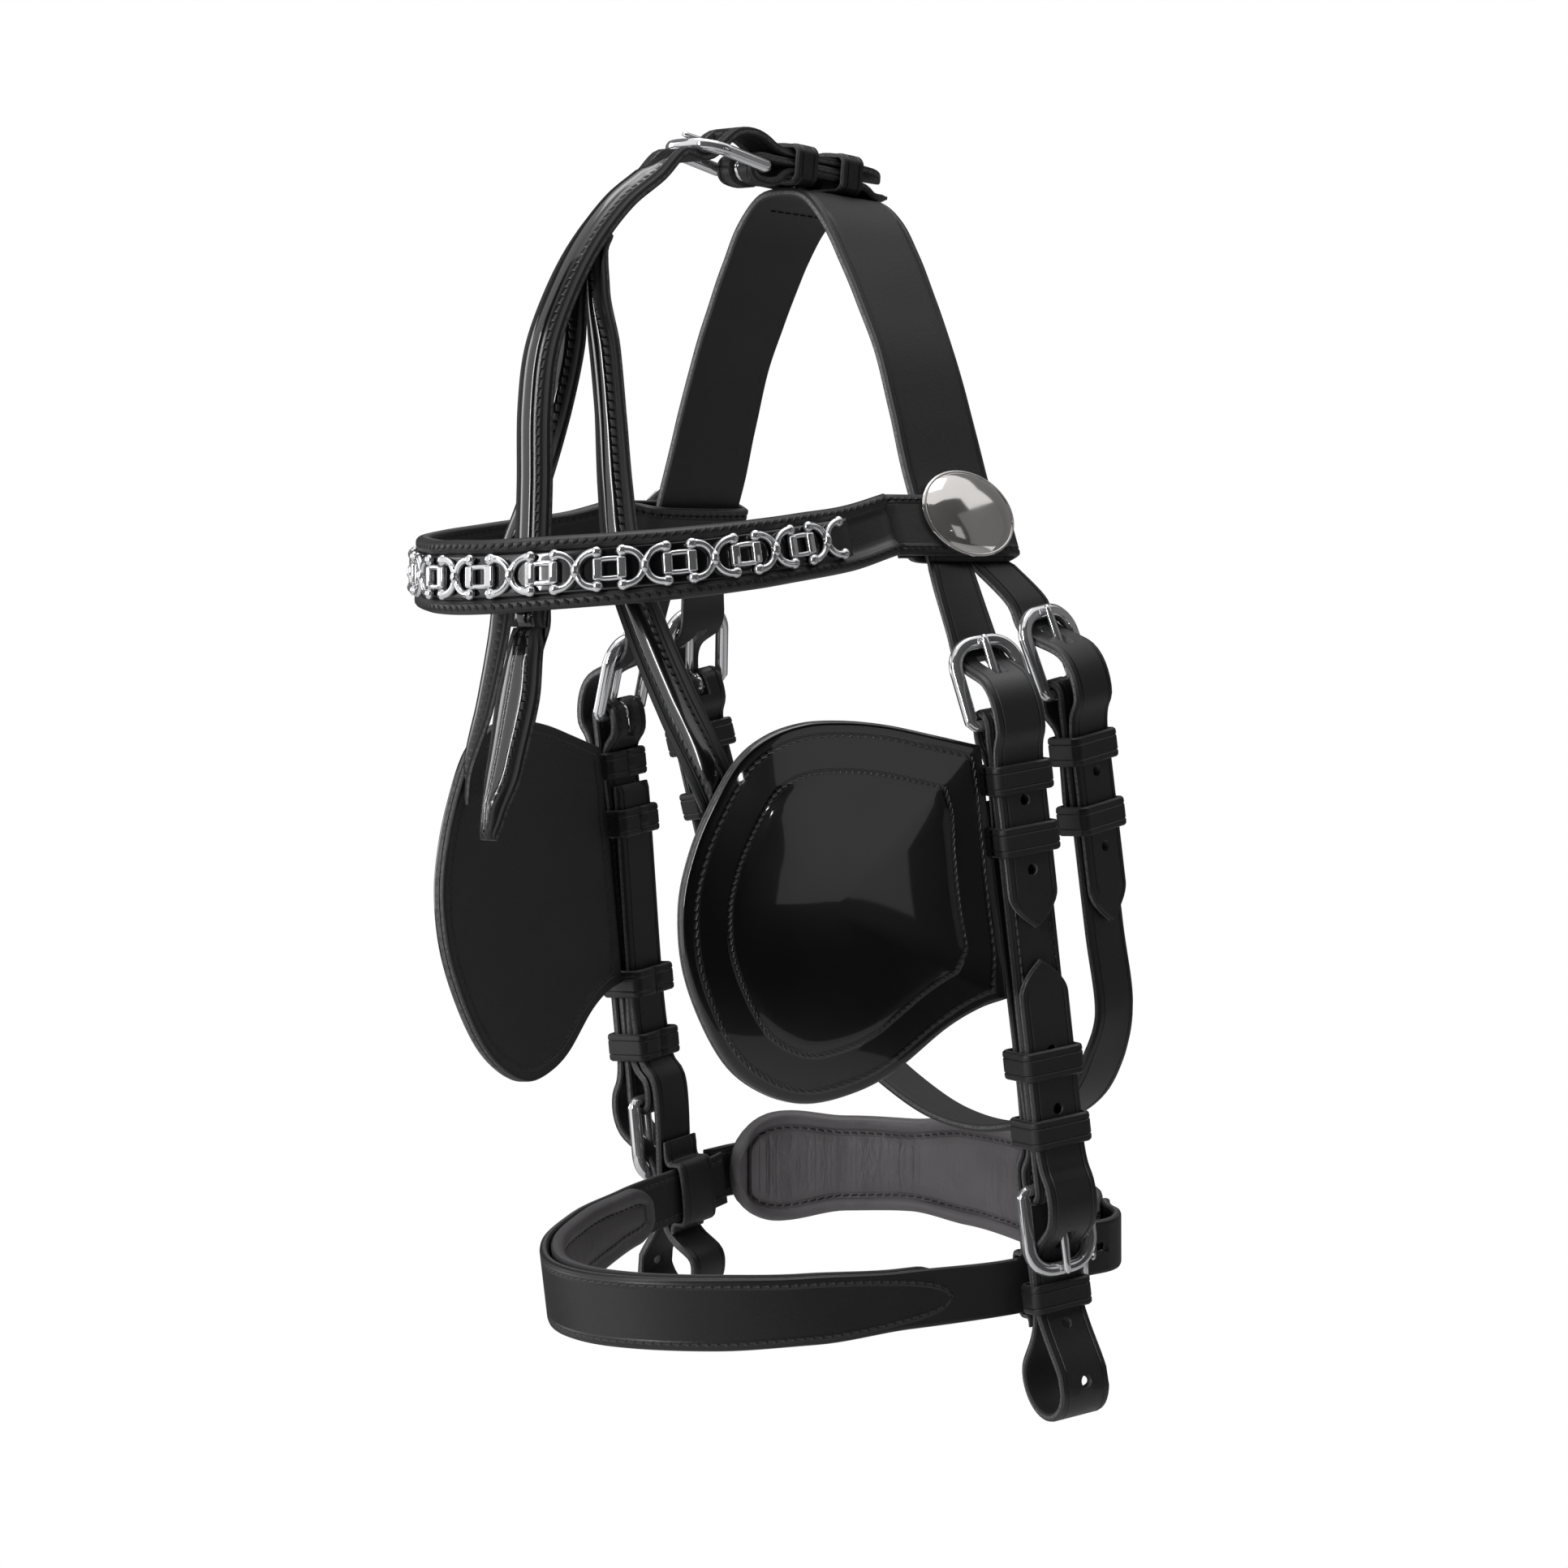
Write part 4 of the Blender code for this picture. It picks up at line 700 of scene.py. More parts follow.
def stitch_group():
    """One row of slanted saddle stitches: raised thread in a shallow groove."""
    inputs = {"Along": 0.0, "Inset": 0.0, "Row": 0.003, "Slant": 0.0004, "Half width": 0.0005,
              "Reach": 0.42}
    tree, given, gives = shader_group("stitch_row", inputs, ("Thread", "Groove"))
    along, inset, row, slant, half_width, reach = given
    turns = along / STITCH_PITCH
    centred = turns.math("FRACT", turns) - 0.5
    away = inset - row
    across = (away + centred * slant) / half_width
    across = (1.0 - across * across).clamped()
    long = (1.0 - abs(centred / reach) ** 4.0).clamped()
    plug(gives["Thread"], across * long)
    wide = away / (half_width * GROOVE_WIDTH)
    plug(gives["Groove"], (1.0 - wide * wide).clamped())
    return tree


def grain_group():
    """Pebbled leather grain with soft clouds and wrinkles, in real metres."""
    inputs = {"Cells per metre": 1100.0, "Wrinkle": 0.0}
    tree, given, gives = shader_group("leather_grain", inputs, ("Height", "Cloud"))
    where = signal(tree, "TexCoord", "Object")
    cell = signal(tree, "TexVoronoi", "Distance", Vector=where, Scale=given[0])
    cloud = signal(tree, "TexNoise", "Fac", Vector=where, Scale=45.0, Detail=4.0)
    fold = signal(tree, "TexNoise", "Fac", Vector=where, Scale=190.0, Detail=3.0,
                  Distortion=1.4)
    plug(gives["Height"], cell + fold * given[1])
    plug(gives["Cloud"], cloud)
    return tree


STITCHES = stitch_group()
GRAIN = grain_group()


def material(name):
    """A new material, its tree and the inputs of its Principled shader."""
    mat = bpy.data.materials.new(name)
    mat.use_nodes = True
    return mat, mat.node_tree, mat.node_tree.nodes["Principled BSDF"].inputs


def leather(name, colour, rough, rows=(), cell=0.0009, depth=0.00003, coat=0.0, wrinkle=0.0,
            edge=(0.070, 0.070, 0.073), flesh=(0.014, 0.014, 0.014), slant=0.0004,
            thread=(0.050, 0.050, 0.053), cloud=0.10, gloss_from=None, seam=False,
            folds=0.0, thick_thread=0.0005, reach=0.42, rise=0.00045):
    """Strap or patent leather with its sewn rows, raw edge and flesh side."""
    mat, tree, shader = material(name)
    split = tree.nodes.new("ShaderNodeSeparateXYZ")
    plug(split.inputs[0], attribute(tree, "cut", "Vector"))
    along, inset, layer = [Signal(socket) for socket in split.outputs]
    pebbles, clouds = placed(tree, GRAIN, 1.0 / cell, wrinkle)
    height = pebbles * depth
    if folds:
        height += folded(tree, along, inset, folds)
    raw = abs(layer - 0.5) < 0.48
    back = layer < 0.02
    base = blend_colour(clouds, shaded(colour, 1.0 - cloud * 3), colour)
    base = blend_colour(back, base, flesh)
    fibre = (pebbles * 1.5).clamped()
    base = blend_colour(raw, base, blend_colour(fibre, shaded(edge, 0.35), shaded(edge, 1.5)))
    matt = raw | back
    sewn = None
    lines = [(inset, row) for row in rows]
    if seam:
        lines.append((attribute(tree, "from_middle", "Fac"), 0.0))
    for measure, row in lines:
        raised, groove = placed(tree, STITCHES, along, measure, row, slant, thick_thread,
                                reach)
        height = height + raised * rise - groove * GROOVE_DEPTH
        sewn = sewn | raised if sewn else raised
    if sewn:
        base = blend_colour(sewn, base, thread)
        matt |= sewn
    if gloss_from:
        matt |= inset < gloss_from
    plug(shader["Base Color"], base)
    plug(shader["Roughness"], clouds * cloud + rough + matt * (MATT_ROUGHNESS - rough))
    plug(shader["Normal"], signal(tree, "Bump", "Normal", Distance=1.0, Height=height))
    if coat:
        plug(shader["Coat Weight"], coat - matt * coat)
        plug(shader["Coat Roughness"], COAT_ROUGHNESS)
    return mat


def patent(name, rough=0.16, depth=0.000004, cell=0.0016, **form):
    return leather(name, PATENT_BLACK, rough, coat=1.0, depth=depth, cell=cell, **form)


def folded(tree, along, inset, deep):
    """Height of the creases that run across a worn pad."""
    spot = signal(tree, "CombineXYZ", "Vector", X=along * 330.0, Y=inset * 70.0)
    wave = signal(tree, "TexNoise", "Fac", Vector=spot, Scale=1.0, Detail=3.0, Distortion=0.8)
    worn = signal(tree, "TexNoise", "Fac", Vector=spot, Scale=0.12)
    worn = ((worn - 0.38) * 4.0).clamped()
    inside = ((inset - 0.006) * 250.0).clamped()
    return wave * worn * (inside * deep)


def metal(name, colour, rough, scratch):
    """Polished metal with faint wiping marks."""
    mat, tree, shader = material(name)
    where = signal(tree, "TexCoord", "Object")
    wipe = signal(tree, "TexNoise", "Fac", Vector=where, Scale=160.0, Detail=5.0)
    plug(shader["Metallic"], METAL_SHARE)
    plug(shader["Base Color"], blend_colour(wipe, shaded(colour, 0.93), colour))
    plug(shader["Roughness"], wipe * scratch + rough)
    return mat


BLACK = (0.0215, 0.0215, 0.0232)
BRIDLE_LEATHER = leather("bridle_leather", BLACK, 0.38)
HEAD_LEATHER = leather("head_leather", BLACK, 0.42, edge=(0.13, 0.13, 0.135),
                       flesh=(0.030, 0.030, 0.031))
SEWN_LEATHER = leather("sewn_leather", BLACK, 0.36, rows=(0.0026,))
KEEPER_LEATHER = leather("keeper_leather", (0.018, 0.018, 0.0195), 0.40)
BROWBAND_LEATHER = leather("browband_leather", (0.026, 0.026, 0.028), 0.40, rows=(0.0022,),
                           slant=0.0016, thread=(0.001, 0.001, 0.0012), thick_thread=0.0007,
                           reach=0.30, rise=-0.0010)
ROLLED_PATENT = patent("rolled_patent", rows=(0.0039,), gloss_from=0.0036)
DROP_PATENT = patent("drop_patent", rows=(0.0037,), gloss_from=0.0034, seam=True)
WINKER_PATENT = patent("winker_patent", depth=0.000002, cell=0.0020, rows=(0.0046, 0.0165),
                       thread=(0.035, 0.035, 0.037), slant=0.0008)
WINKER_LINING = leather("winker_lining_leather", (0.030, 0.030, 0.032), 0.44,
                        rows=(0.0046,), depth=0.00005, thread=(0.03, 0.03, 0.03))
INLAY_PATENT = patent("inlay_patent", 0.20, depth=0.000002, cell=0.0020)
SOFT_LINING = leather("soft_lining", (0.150, 0.141, 0.148), 0.50, depth=0.00006,
                      wrinkle=1.2, rows=(0.0060,), cell=0.0012, cloud=0.14, folds=0.0016,
                      thread=(0.02, 0.02, 0.021))
SEAM_LINEN = leather("seam_linen", (0.004, 0.004, 0.004), 0.50)
CHROME = metal("polished_chrome", (0.80, 0.80, 0.82), 0.03, 0.06)
ROSETTE_METAL = metal("rosette_nickel", (0.74, 0.715, 0.70), 0.07, 0.06)


# Making and joining pieces


def add(name, data):
    """A new object in the scene, at the origin."""
    thing = bpy.data.objects.new(name, data)
    bpy.context.scene.collection.objects.link(thing)
    return thing


def meshed(name, bm):
    mesh = bpy.data.meshes.new(name)
    bm.to_mesh(mesh)
    bm.free()
    return mesh


def piece(name, bm, look, nodes=(), body=ROOT, sharp=38.0):
    """Adds a finished mesh that stands for CAD nodes and rides on a body."""
    mesh = meshed(name, bm)
    mesh.materials.append(look)
    mesh.shade_smooth()
    mesh.set_sharp_from_angle(angle=math.radians(sharp))
    thing = add(name, mesh)
    if body:
        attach(thing, body)
    if nodes:
        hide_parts(*nodes)
    return thing


def metal_piece(name, bm, node, look=CHROME, body=ROOT):
    return piece(name, bm, look, (node,), body, sharp=60)


def patent_piece(name, bm, look, nodes, body=ROOT):
    return piece(name, bm, look, nodes, body)


def merged(*parts):
    """Several bmeshes in one, with their cut layers."""
    whole = bmesh.new()
    for part in parts:
        mesh = meshed("joining", part)
        whole.from_mesh(mesh)
        bpy.data.meshes.remove(mesh)
    return whole


def eased(share):
    return share * share * (3 - 2 * share)


def dome(share):
    """Height of a unit dome at a share of its half width."""
    return math.sqrt(max(1 - share * share, 0.0))


def spread(values, least):
    """Sorted values without near doubles."""
    kept = []
    for value in sorted(values):
        if not kept or value - kept[-1] > least:
            kept.append(value)
    return kept


def blank_rows(route, holes, slots, tips, round_end):
    """Lengths along a strap at which its blank has a row of points."""
    fixed = [0.0, route.length]
    for spot in holes:
        fixed += [spot - HOLE_BLOCK, spot + HOLE_BLOCK]
    for slot in slots:
        fixed += slot
    near_tip = [POINT_REACH * share for share in TIP_SHARES]
    if tips[0]:
        fixed += near_tip
    if tips[1]:
        fixed += [route.length - reach for reach in near_tip]
    if round_end:
        for share in ROUND_SHARES:
            fixed += [round_end * share, route.length - round_end * share]
    rows = [r for r in route.reach
            if all(abs(r - f) > ROW_LEAST for f in fixed)
            and all(abs(r - h) > HOLE_BLOCK for h in holes)]
    return spread(rows + fixed, FIXED_LEAST)


def blank_columns(half, hem, crown, ridges, piped, centre_groove):
    """Places across a strap at which its blank has a column of points."""
    columns = [0.0, SLOT_HALF, HOLE_BLOCK]
    insets = list(EDGE_COLUMNS)
    if crown or ridges:
        columns += [half * share for share in INNER_SHARES]
    if ridges:
        insets += RIDGE_COLUMNS
    if crown:
        insets += [hem + inside for inside in HEM_COLUMNS]
    if piped:
        insets += PIPE_COLUMNS
    if centre_groove:
        columns += [CENTRE_GROOVE_FLOOR, CENTRE_GROOVE_HALF]
    columns += [half - inset for inset in insets]
    columns = [c for c in columns if 0 <= c <= half]
    return spread([-c for c in columns] + columns, COLUMN_LEAST)


def opened(bm, first, last, half):
    """Takes the faces between two lengths out of a blank's middle."""
    gone = [f for f in bm.faces if first < f.calc_center_median().x < last
            and abs(f.calc_center_median().y) < half]
    bmesh.ops.delete(bm, geom=gone, context="FACES")


def punched(bm, spot):
    """A round hole, bridged to the square taken out of the blank for it."""
    opened(bm, spot - HOLE_BLOCK, spot + HOLE_BLOCK, HOLE_BLOCK)
    reach = HOLE_BLOCK * 1.01
    border = [e for e in bm.edges if e.is_boundary
              and all(abs(v.co.x - spot) < reach and abs(v.co.y) < reach for v in e.verts)]
    ring = bmesh.ops.create_circle(bm, segments=HOLE_SIDES, radius=HOLE_RADIUS,
                                   matrix=Matrix.Translation((spot, 0.0, 0.0)))["verts"]
    ring_edges = list({e for v in ring for e in v.link_edges})
    bmesh.ops.bridge_loops(bm, edges=border + ring_edges)


def width_at(route, widths, along):
    """Width between the stations of a route, eased from one to the next."""
    known = route.stations
    k = min(max(bisect.bisect_right(known, along) - 1, 0), len(known) - 2)
    t = eased((along - known[k]) / (known[k + 1] - known[k]))
    return widths[k] * (1 - t) + widths[k + 1] * t


def strap(route, width=STRAP_WIDTH, thick=STRAP_THICK, holes=(), slots=(),
          tips=(False, False), crown=0.0, creases=True, widths=None, hem=0.0, ridges=0.0,
          end_swell=1.0, thick_end=None, round_end=0.0, piped=0.0, centre_groove=0.0,
          sewn_point=None):
    """A strap cut flat with its holes and slots, given its thickness, then laid."""
    half = width / 2
    rows = blank_rows(route, holes, slots, tips, round_end)
    columns = blank_columns(half, hem, crown, ridges, piped, centre_groove)
    bm = bmesh.new()
    cut = bm.verts.layers.float_vector.new("cut")
    from_middle = bm.verts.layers.float.new("from_middle")
    bmesh.ops.create_grid(bm, x_segments=len(rows) - 1, y_segments=len(columns) - 1, size=0.5)
    for v in bm.verts:
        row = rows[round((v.co.x + 0.5) * (len(rows) - 1))]
        v.co = (row, columns[round((v.co.y + 0.5) * (len(columns) - 1))], 0.0)
    for first, last in slots:
        opened(bm, first, last, SLOT_HALF)
    for spot in holes:
        punched(bm, spot)
    raised = bmesh.ops.extrude_face_region(bm, geom=bm.faces[:])["geom"]
    top = {v for v in raised if isinstance(v, bmesh.types.BMVert)}
    bmesh.ops.recalc_face_normals(bm, faces=bm.faces[:])
    for v in bm.verts:
        s, w, _ = v.co
        size = width_at(route, widths, s) if widths else width
        ends = min(s, route.length - s)
        if ends < POINT_REACH and tips[s > route.length / 2]:
            size *= max(1 - (1 - ends / POINT_REACH) ** POINT_CURVE, LEAST_POINT)
        if round_end and ends < round_end:
            size *= max(dome(1 - ends / round_end), LEAST_END)
        scale = size / width
        inset = (half - abs(w)) * scale
        if round_end:
            inset = min(inset, ends)
        skin = dome(1 - min(inset, ends, EDGE_ROUND) / EDGE_ROUND)
        deep = thick
        if thick_end:
            deep += (thick_end - thick) * min(s / SKIVE_REACH, 1.0)
        if v in top:
            rise = deep * (GRAIN_EDGE + (0.5 - GRAIN_EDGE) * skin)
            if creases and size > CREASE_LEAST_WIDTH:
                rise -= CREASE_DEPTH * max(1 - abs(inset - CREASE_AT) / CREASE_HALF, 0.0)
            if ridges:
                rise += ridges * dome((inset - RIDGE_AT) / RIDGE_HALF)
            if piped:
                rise += piped_rise(inset, piped)
            if centre_groove:
                rise -= centre_groove * max(1 - abs(w * scale) / CENTRE_GROOVE_HALF, 0.0)
            if crown:
                x = abs(w) * scale / max(size / 2 - hem * scale, 0.001)
                hold = end_swell + (1 - end_swell) * min(ends / SWELL_REACH, 1.0)
                rise += crown * hold * dome(x)
        else:
            rise = -deep * (FLESH_EDGE + (0.5 - FLESH_EDGE) * skin)
        sewn = inset
        if sewn_point and s > sewn_point[0]:
            share = (s - sewn_point[0]) / (sewn_point[1] - sewn_point[0])
            bow = 1 - dome(share) + max(share - 1, 0.0) * 6
            sewn -= (size / 2 - SEAM_ROW) * min(bow, 2.0)
        v[cut] = (s, sewn, float(v in top))
        v[from_middle] = abs(w * scale)
        v.co = route.at(s, w * scale, rise)
    return bm


def piped_rise(inset, high):
    """Height of a pad's rolled edge, the groove inside it and the soft panel."""
    if inset < PIPE_WIDTH:
        return high * dome(2 * inset / PIPE_WIDTH - 1)
    swell = min((inset - PIPE_WIDTH) / PIPE_SWELL, 1.0)
    return high * PIPE_INNER * swell * (2 - swell)


def lifted(bm, route, height):
    """Raises a laid strap's grain side by a height worked out from its cut."""
    cut = bm.verts.layers.float_vector["cut"]
    for v in bm.verts:
        along, inset, layer = v[cut]
        if layer > 0.5:
            lift = route.at(along, 0.0, 1.0) - route.at(along, 0.0, 0.0)
            v.co += lift * height(along, inset, v.co)


def rod(points, radii, closed=False, fine=4):
    """Round wire through points, from a bevelled curve."""
    curve = bpy.data.curves.new("wire", "CURVE")
    curve.dimensions = "3D"
    curve.bevel_depth = 1.0
    curve.bevel_resolution = fine
    curve.use_fill_caps = True
    line = curve.splines.new("POLY")
    line.points.add(len(points) - 1)
    for i, spot in enumerate(points):
        line.points[i].co = (*spot, 1.0)
        line.points[i].radius = radii[i] if isinstance(radii, (list, tuple)) else radii
    line.use_cyclic_u = closed
    holder = add("wire", curve)
    bpy.context.view_layer.update()
    mesh = bpy.data.meshes.new_from_object(holder)
    bm = bmesh.new()
    bm.from_mesh(mesh)
    bpy.data.objects.remove(holder)
    bpy.data.curves.remove(curve)
    bpy.data.meshes.remove(mesh)
    bmesh.ops.remove_doubles(bm, verts=bm.verts[:], dist=1e-7)
    return bm


def arc(centre, radius, start, stop, steps):
    turns = [math.radians(start + (stop - start) * i / steps) for i in range(steps + 1)]
    return [(centre[0] + radius * math.cos(t), centre[1] + radius * math.sin(t))
            for t in turns]


# Buckles and keepers


def buckle(name, place, tag=""):
    """Polished wire frame with a flattened face, and its tongue."""
    half = STRAP_WIDTH / 2 + FRAME_CLEARANCE + WIRE_RADIUS
    low = BAR_CORNER
    top = TOE_CORNER
    flat = [(0.0, f * (half - low)) for f in (-1.0, -0.5, 0.0, 0.5, 1.0)]
    flat += arc((low, half - low), low, 180, 90, 6)[1:]
    flat += arc((FRAME_LENGTH - top, half - top), top, 90, 0, 12)
    flat += arc((FRAME_LENGTH - top, -(half - top)), top, 0, -90, 12)
    flat += arc((low, -(half - low)), low, 270, 180, 6)[:-1]
    radii = [BAR_RADIUS if a < BAR_CORNER_START else FRAME_WIRE for a, _ in flat]
    bm = rod([place.at(a, 0.0, f) for a, f in flat], radii, closed=True, fine=6)
    for v in bm.verts:
        high = (v.co - place.origin).dot(place.out)
        above = high - WIRE_FLAT_ABOVE
        if above > 0:
            v.co += place.out * above * (WIRE_FLATNESS - 1)
    metal_piece(name + "_buckle_wire" + tag, bm, name + "_buckle_frame" + tag)
    tongue(name + "_buckle_tongue" + tag, place, name + "_tongue" + tag)


def tongue(name, place, body):
    """Eye round the bar and a pin that tapers to the toe."""
    eye = [place.at(a, n)
           for a, n in arc((0.0, 0.0), BAR_RADIUS + FIT_GAP + EYE_WIRE, 0, EYE_SWEEP,
                        EYE_STEPS)]
    ring = widened(rod(eye, EYE_WIRE, closed=True), place,
                   (TONGUE_WIDTH / 2 / EYE_WIRE - 1.0) * EYE_SPREAD)
    pin = rod([place.at(a, PIN_REST - low) for a, low, _ in PIN_LINE],
              [thick for _, _, thick in PIN_LINE], fine=5)
    bm = merged(ring, widened(pin, place, PIN_SPREAD))
    metal_piece(name + "_pin", bm, name, body=body)


def widened(bm, place, share):
    """A wire made wider across its strap by a share."""
    for v in bm.verts:
        v.co += place.fore * (v.co - place.origin).dot(place.fore) * share
    return bm


def keeper(name, place, along, inner, outer, bend=KEEPER_BEND, dome_rise=0.0):
    """Leather loop round a stack of straps, creased along both edges."""
    gap = FIT_GAP + KEEPER_WALL / 2
    low = inner - STRAP_THICK / 2 - gap
    high = outer + STRAP_THICK / 2 + gap
    half = STRAP_WIDTH / 2 + gap
    corners = [(low, 0.0)]
    ways = ((0, 1), (1, 0), (0, -1), (-1, 0), (0, 1))
    for i, (n, f) in enumerate(((low, half), (high, half), (high, -half), (low, -half))):
        for reach in (-2 * bend, -bend, bend, 2 * bend):
            way = ways[i] if reach < 0 else ways[i + 1]
            corners.append((n + way[0] * reach, f + way[1] * reach))
        if dome_rise and i == 1:
            corners.append((high + dome_rise, 0.0))
    corners.append((low, -FIT_GAP))
    route = Route([place.at(along, n, f) for n, f in corners], place.along, -place.out)
    body = name.replace("_runner", "_runner_body") if "_runner" in name else ROOT
    piece(name + "_loop", strap(route, KEEPER_HEIGHT, KEEPER_WALL), KEEPER_LEATHER, (name,),
          body)


def keepers(place, stacks, suffix="", **form):
    """Keepers from their names, places along the strap, and inner and outer layers."""
    for name, along, inner, outer in stacks:
        keeper(name + suffix, place, along, inner, outer, **form)


# Headpiece and its four billets


def billet_leg(side, front):
    """One leg of the headpiece, through its buckle to its tip."""
    beside = head_side(side)
    lean = 1 if front else -1
    path = [beside.at(SPLIT_BELOW, 0.0) + FORWARD * lean * STRAP_WIDTH / 2]
    if front:
        path.append(mirror(CHEEK_LEG_BEND, side))
        place = cheek_place(side)
        stop, holes = CHEEK_BILLET
    else:
        place = throat_place(side)
        stop, holes = THROAT_BILLET
    slot = len(path) + 2
    turning = len(path) + 1
    path += place.billet()
    hole = len(path) + 1
    path += billet_end(place, CHAPE_CLOSED, stop, holes)
    across = [FORWARD.lerp(place.fore, min(i / turning, 1.0)).normalized()
              for i in range(len(path))]
    route = Route(path, across, beside.out)
    return strap(route, STRAP_WIDTH, HEAD_THICK, holes=hole_spots(route, hole),
                 slots=(route.stations[slot:slot + 2],), tips=(False, True),
                 thick_end=STRAP_THICK)


def headpiece():
    half = [Vector(p) for p in HEAD_ARCH]
    left = head_side(1)
    half += [left.at(-TAPER_ABOVE, 0.0), left.at(0.0, 0.0), left.at(SPLIT_BELOW, 0.0)]
    widths = list(HEAD_TAPER) + [2 * STRAP_WIDTH] * 3
    across = []
    for i in range(len(half)):
        across.append((-crown_place().along).lerp(FORWARD, min(i / 3, 1.0)).normalized())
    across = across[:0:-1] + across
    route = Route(both_sides(half), across, TO_RIGHT)
    parts = [strap(route, HEAD_WIDTH, HEAD_THICK, widths=widths[:0:-1] + widths)]
    for side, _ in SIDES:
        parts += [billet_leg(side, True), billet_leg(side, False)]
    piece("headpiece_strap", merged(*parts), HEAD_LEATHER, ("headpiece",))
    stitches = []
    under = -HEAD_THICK / 2 - SEAM_THREAD * SEAM_SUNK
    for side, _ in SIDES:
        spot = route.length / 2 + side * CROWN_SEAM_ASIDE
        for k in SEAM_STITCHES:
            ends = [route.at(spot, k * SEAM_PITCH + reach, under)
                    for reach in (-SEAM_STITCH_HALF, 0.0, SEAM_STITCH_HALF)]
            stitches.append(rod(ends, [SEAM_TIP, SEAM_THREAD, SEAM_TIP]))
    piece("crown_seam_stitches", merged(*stitches), SEAM_LINEN, ())


# Cheeks, bit straps and throatlatch


def cheek(side, tag):
    place = cheek_place(side)
    drop = side_drop(side)
    length = CHEEK_LENGTH - drop
    buckle("cheek", place.frame, "_" + tag)
    lower = Place(place.at(length, 0.0), place.along, place.out, side)
    buckle("bit", lower, "_" + tag)
    ends = chape_points(CHAPE_BACK)
    size = len(ends)
    route = place.route(ends + [(length - a, n) for a, n in reversed(ends)])
    at = route.stations
    bm = strap(route, slots=((at[2], at[size - 1]), (at[size], at[2 * size - 3])))
    piece("cheek_strap_leather_" + tag, bm, SEWN_LEATHER, ("cheek_strap_" + tag,))
    inner = WRAP - 2 * LAYER
    deep = UNDER_TOE - LAYER
    bit_strap(side, tag, place, inner, deep)
    keepers(place, (("cheek_fixed_keeper_", CHEEK_KEEPER_AT, WRAP - LAYER, OVER),
                    ("cheek_runner_", CHEEK_RUNNER_AT, inner, OVER),
                    ("bit_runner_", BIT_RUNNER_AT - drop, inner, OVER),
                    ("bit_fixed_keeper_", BIT_KEEPER_AT - drop, inner, OVER),
                    ("bit_loop_keeper_", LOOP_KEEPER_AT - drop, deep, UNDER_TOE)), tag)
    thick = STRAP_THICK / 2 + FIT_GAP + LOOP_THICK / 2
    low = deep - thick
    far = noseband_depth() - thick
    wide = STRAP_WIDTH / 2 + FIT_GAP + LOOP_THICK / 2
    corner = [(wide + LOOP_BEND, low), (wide, low - LOOP_BEND), (wide, far + LOOP_BEND),
              (wide - LOOP_BEND, far)]
    view = [(-wide - LOOP_TAB_UP, low)] + [(-a, n) for a, n in corner]
    view += corner[::-1] + [(wide + LOOP_TAB_DOWN, low)]
    route = place.route([(NOSEBAND_AT - drop + a, n) for a, n in view])
    piece("noseband_loop_leather_" + tag, strap(route, STRAP_WIDTH, LOOP_THICK),
          KEEPER_LEATHER, ("noseband_loop_" + tag,))


def bit_strap(side, tag, place, inner, deep):
    """Strap under the cheek strap, round as the bit's loop and up through the bit buckle."""
    drop = side_drop(side)
    length = CHEEK_LENGTH - drop
    raised = 0.0 if side > 0 else RIGHT_LOOP_RAISE
    centre = BIT_LOOP_END - drop - raised - STRAP_THICK / 2 - BIT_LOOP_RADIUS
    view = [(BIT_STRAP_TOP, inner), (length - BIT_DIP[0], inner), (length - BIT_DIP[1], deep),
            (length + BIT_FORK, deep)]
    view += arc((centre, (deep + UNDER_TOE) / 2), BIT_LOOP_RADIUS, *BIT_LOOP_SWEEP, 8)
    bend = len(view) - 1
    view.append((length + BIT_OUTER_FORK, UNDER_TOE))
    slot = len(view) + 2
    view += [(length + a, n) for a, n in BILLET_RISES]
    view += [(length - a, n) for a, n in BILLET_SETTLES]
    stop = BIT_BILLET_END - drop * BIT_BILLET_RAISE
    first = length - BIT_HOLE_ABOVE
    holes = (first, max(first - BIT_HOLE_PITCH, stop + POINT_REACH + HOLE_STATION))
    path = place.line(view) + billet_end(place, length - CHAPE_CLOSED, stop, holes)
    route = Route(path, place.fore, -place.out)
    at = route.stations
    spots = hole_spots(route, len(view) + 1)
    spots += [at[bend] + BIT_LOOP_HOLES[0], at[bend + 1] - BIT_LOOP_HOLES[1]]
    bm = strap(route, holes=sorted(spots),
               slots=(at[slot:slot + 2],), tips=(False, True))
    piece("bit_strap_leather_" + tag, bm, BRIDLE_LEATHER, ("bit_strap_" + tag,))


def noseband_depth():
    return UNDER_TOE - LAYER - STRAP_THICK - FIT_GAP - KEEPER_WALL - FIT_GAP


def throat_side(side, tag):
    place = throat_place(side)
    buckle("throat", place.frame, "_" + tag)
    keepers(place, (("throat_fixed_keeper_", THROAT_KEEPER_AT, WRAP - LAYER, OVER),
                    ("throat_runner_", THROAT_RUNNER_AT, WRAP - LAYER, OVER)), tag)


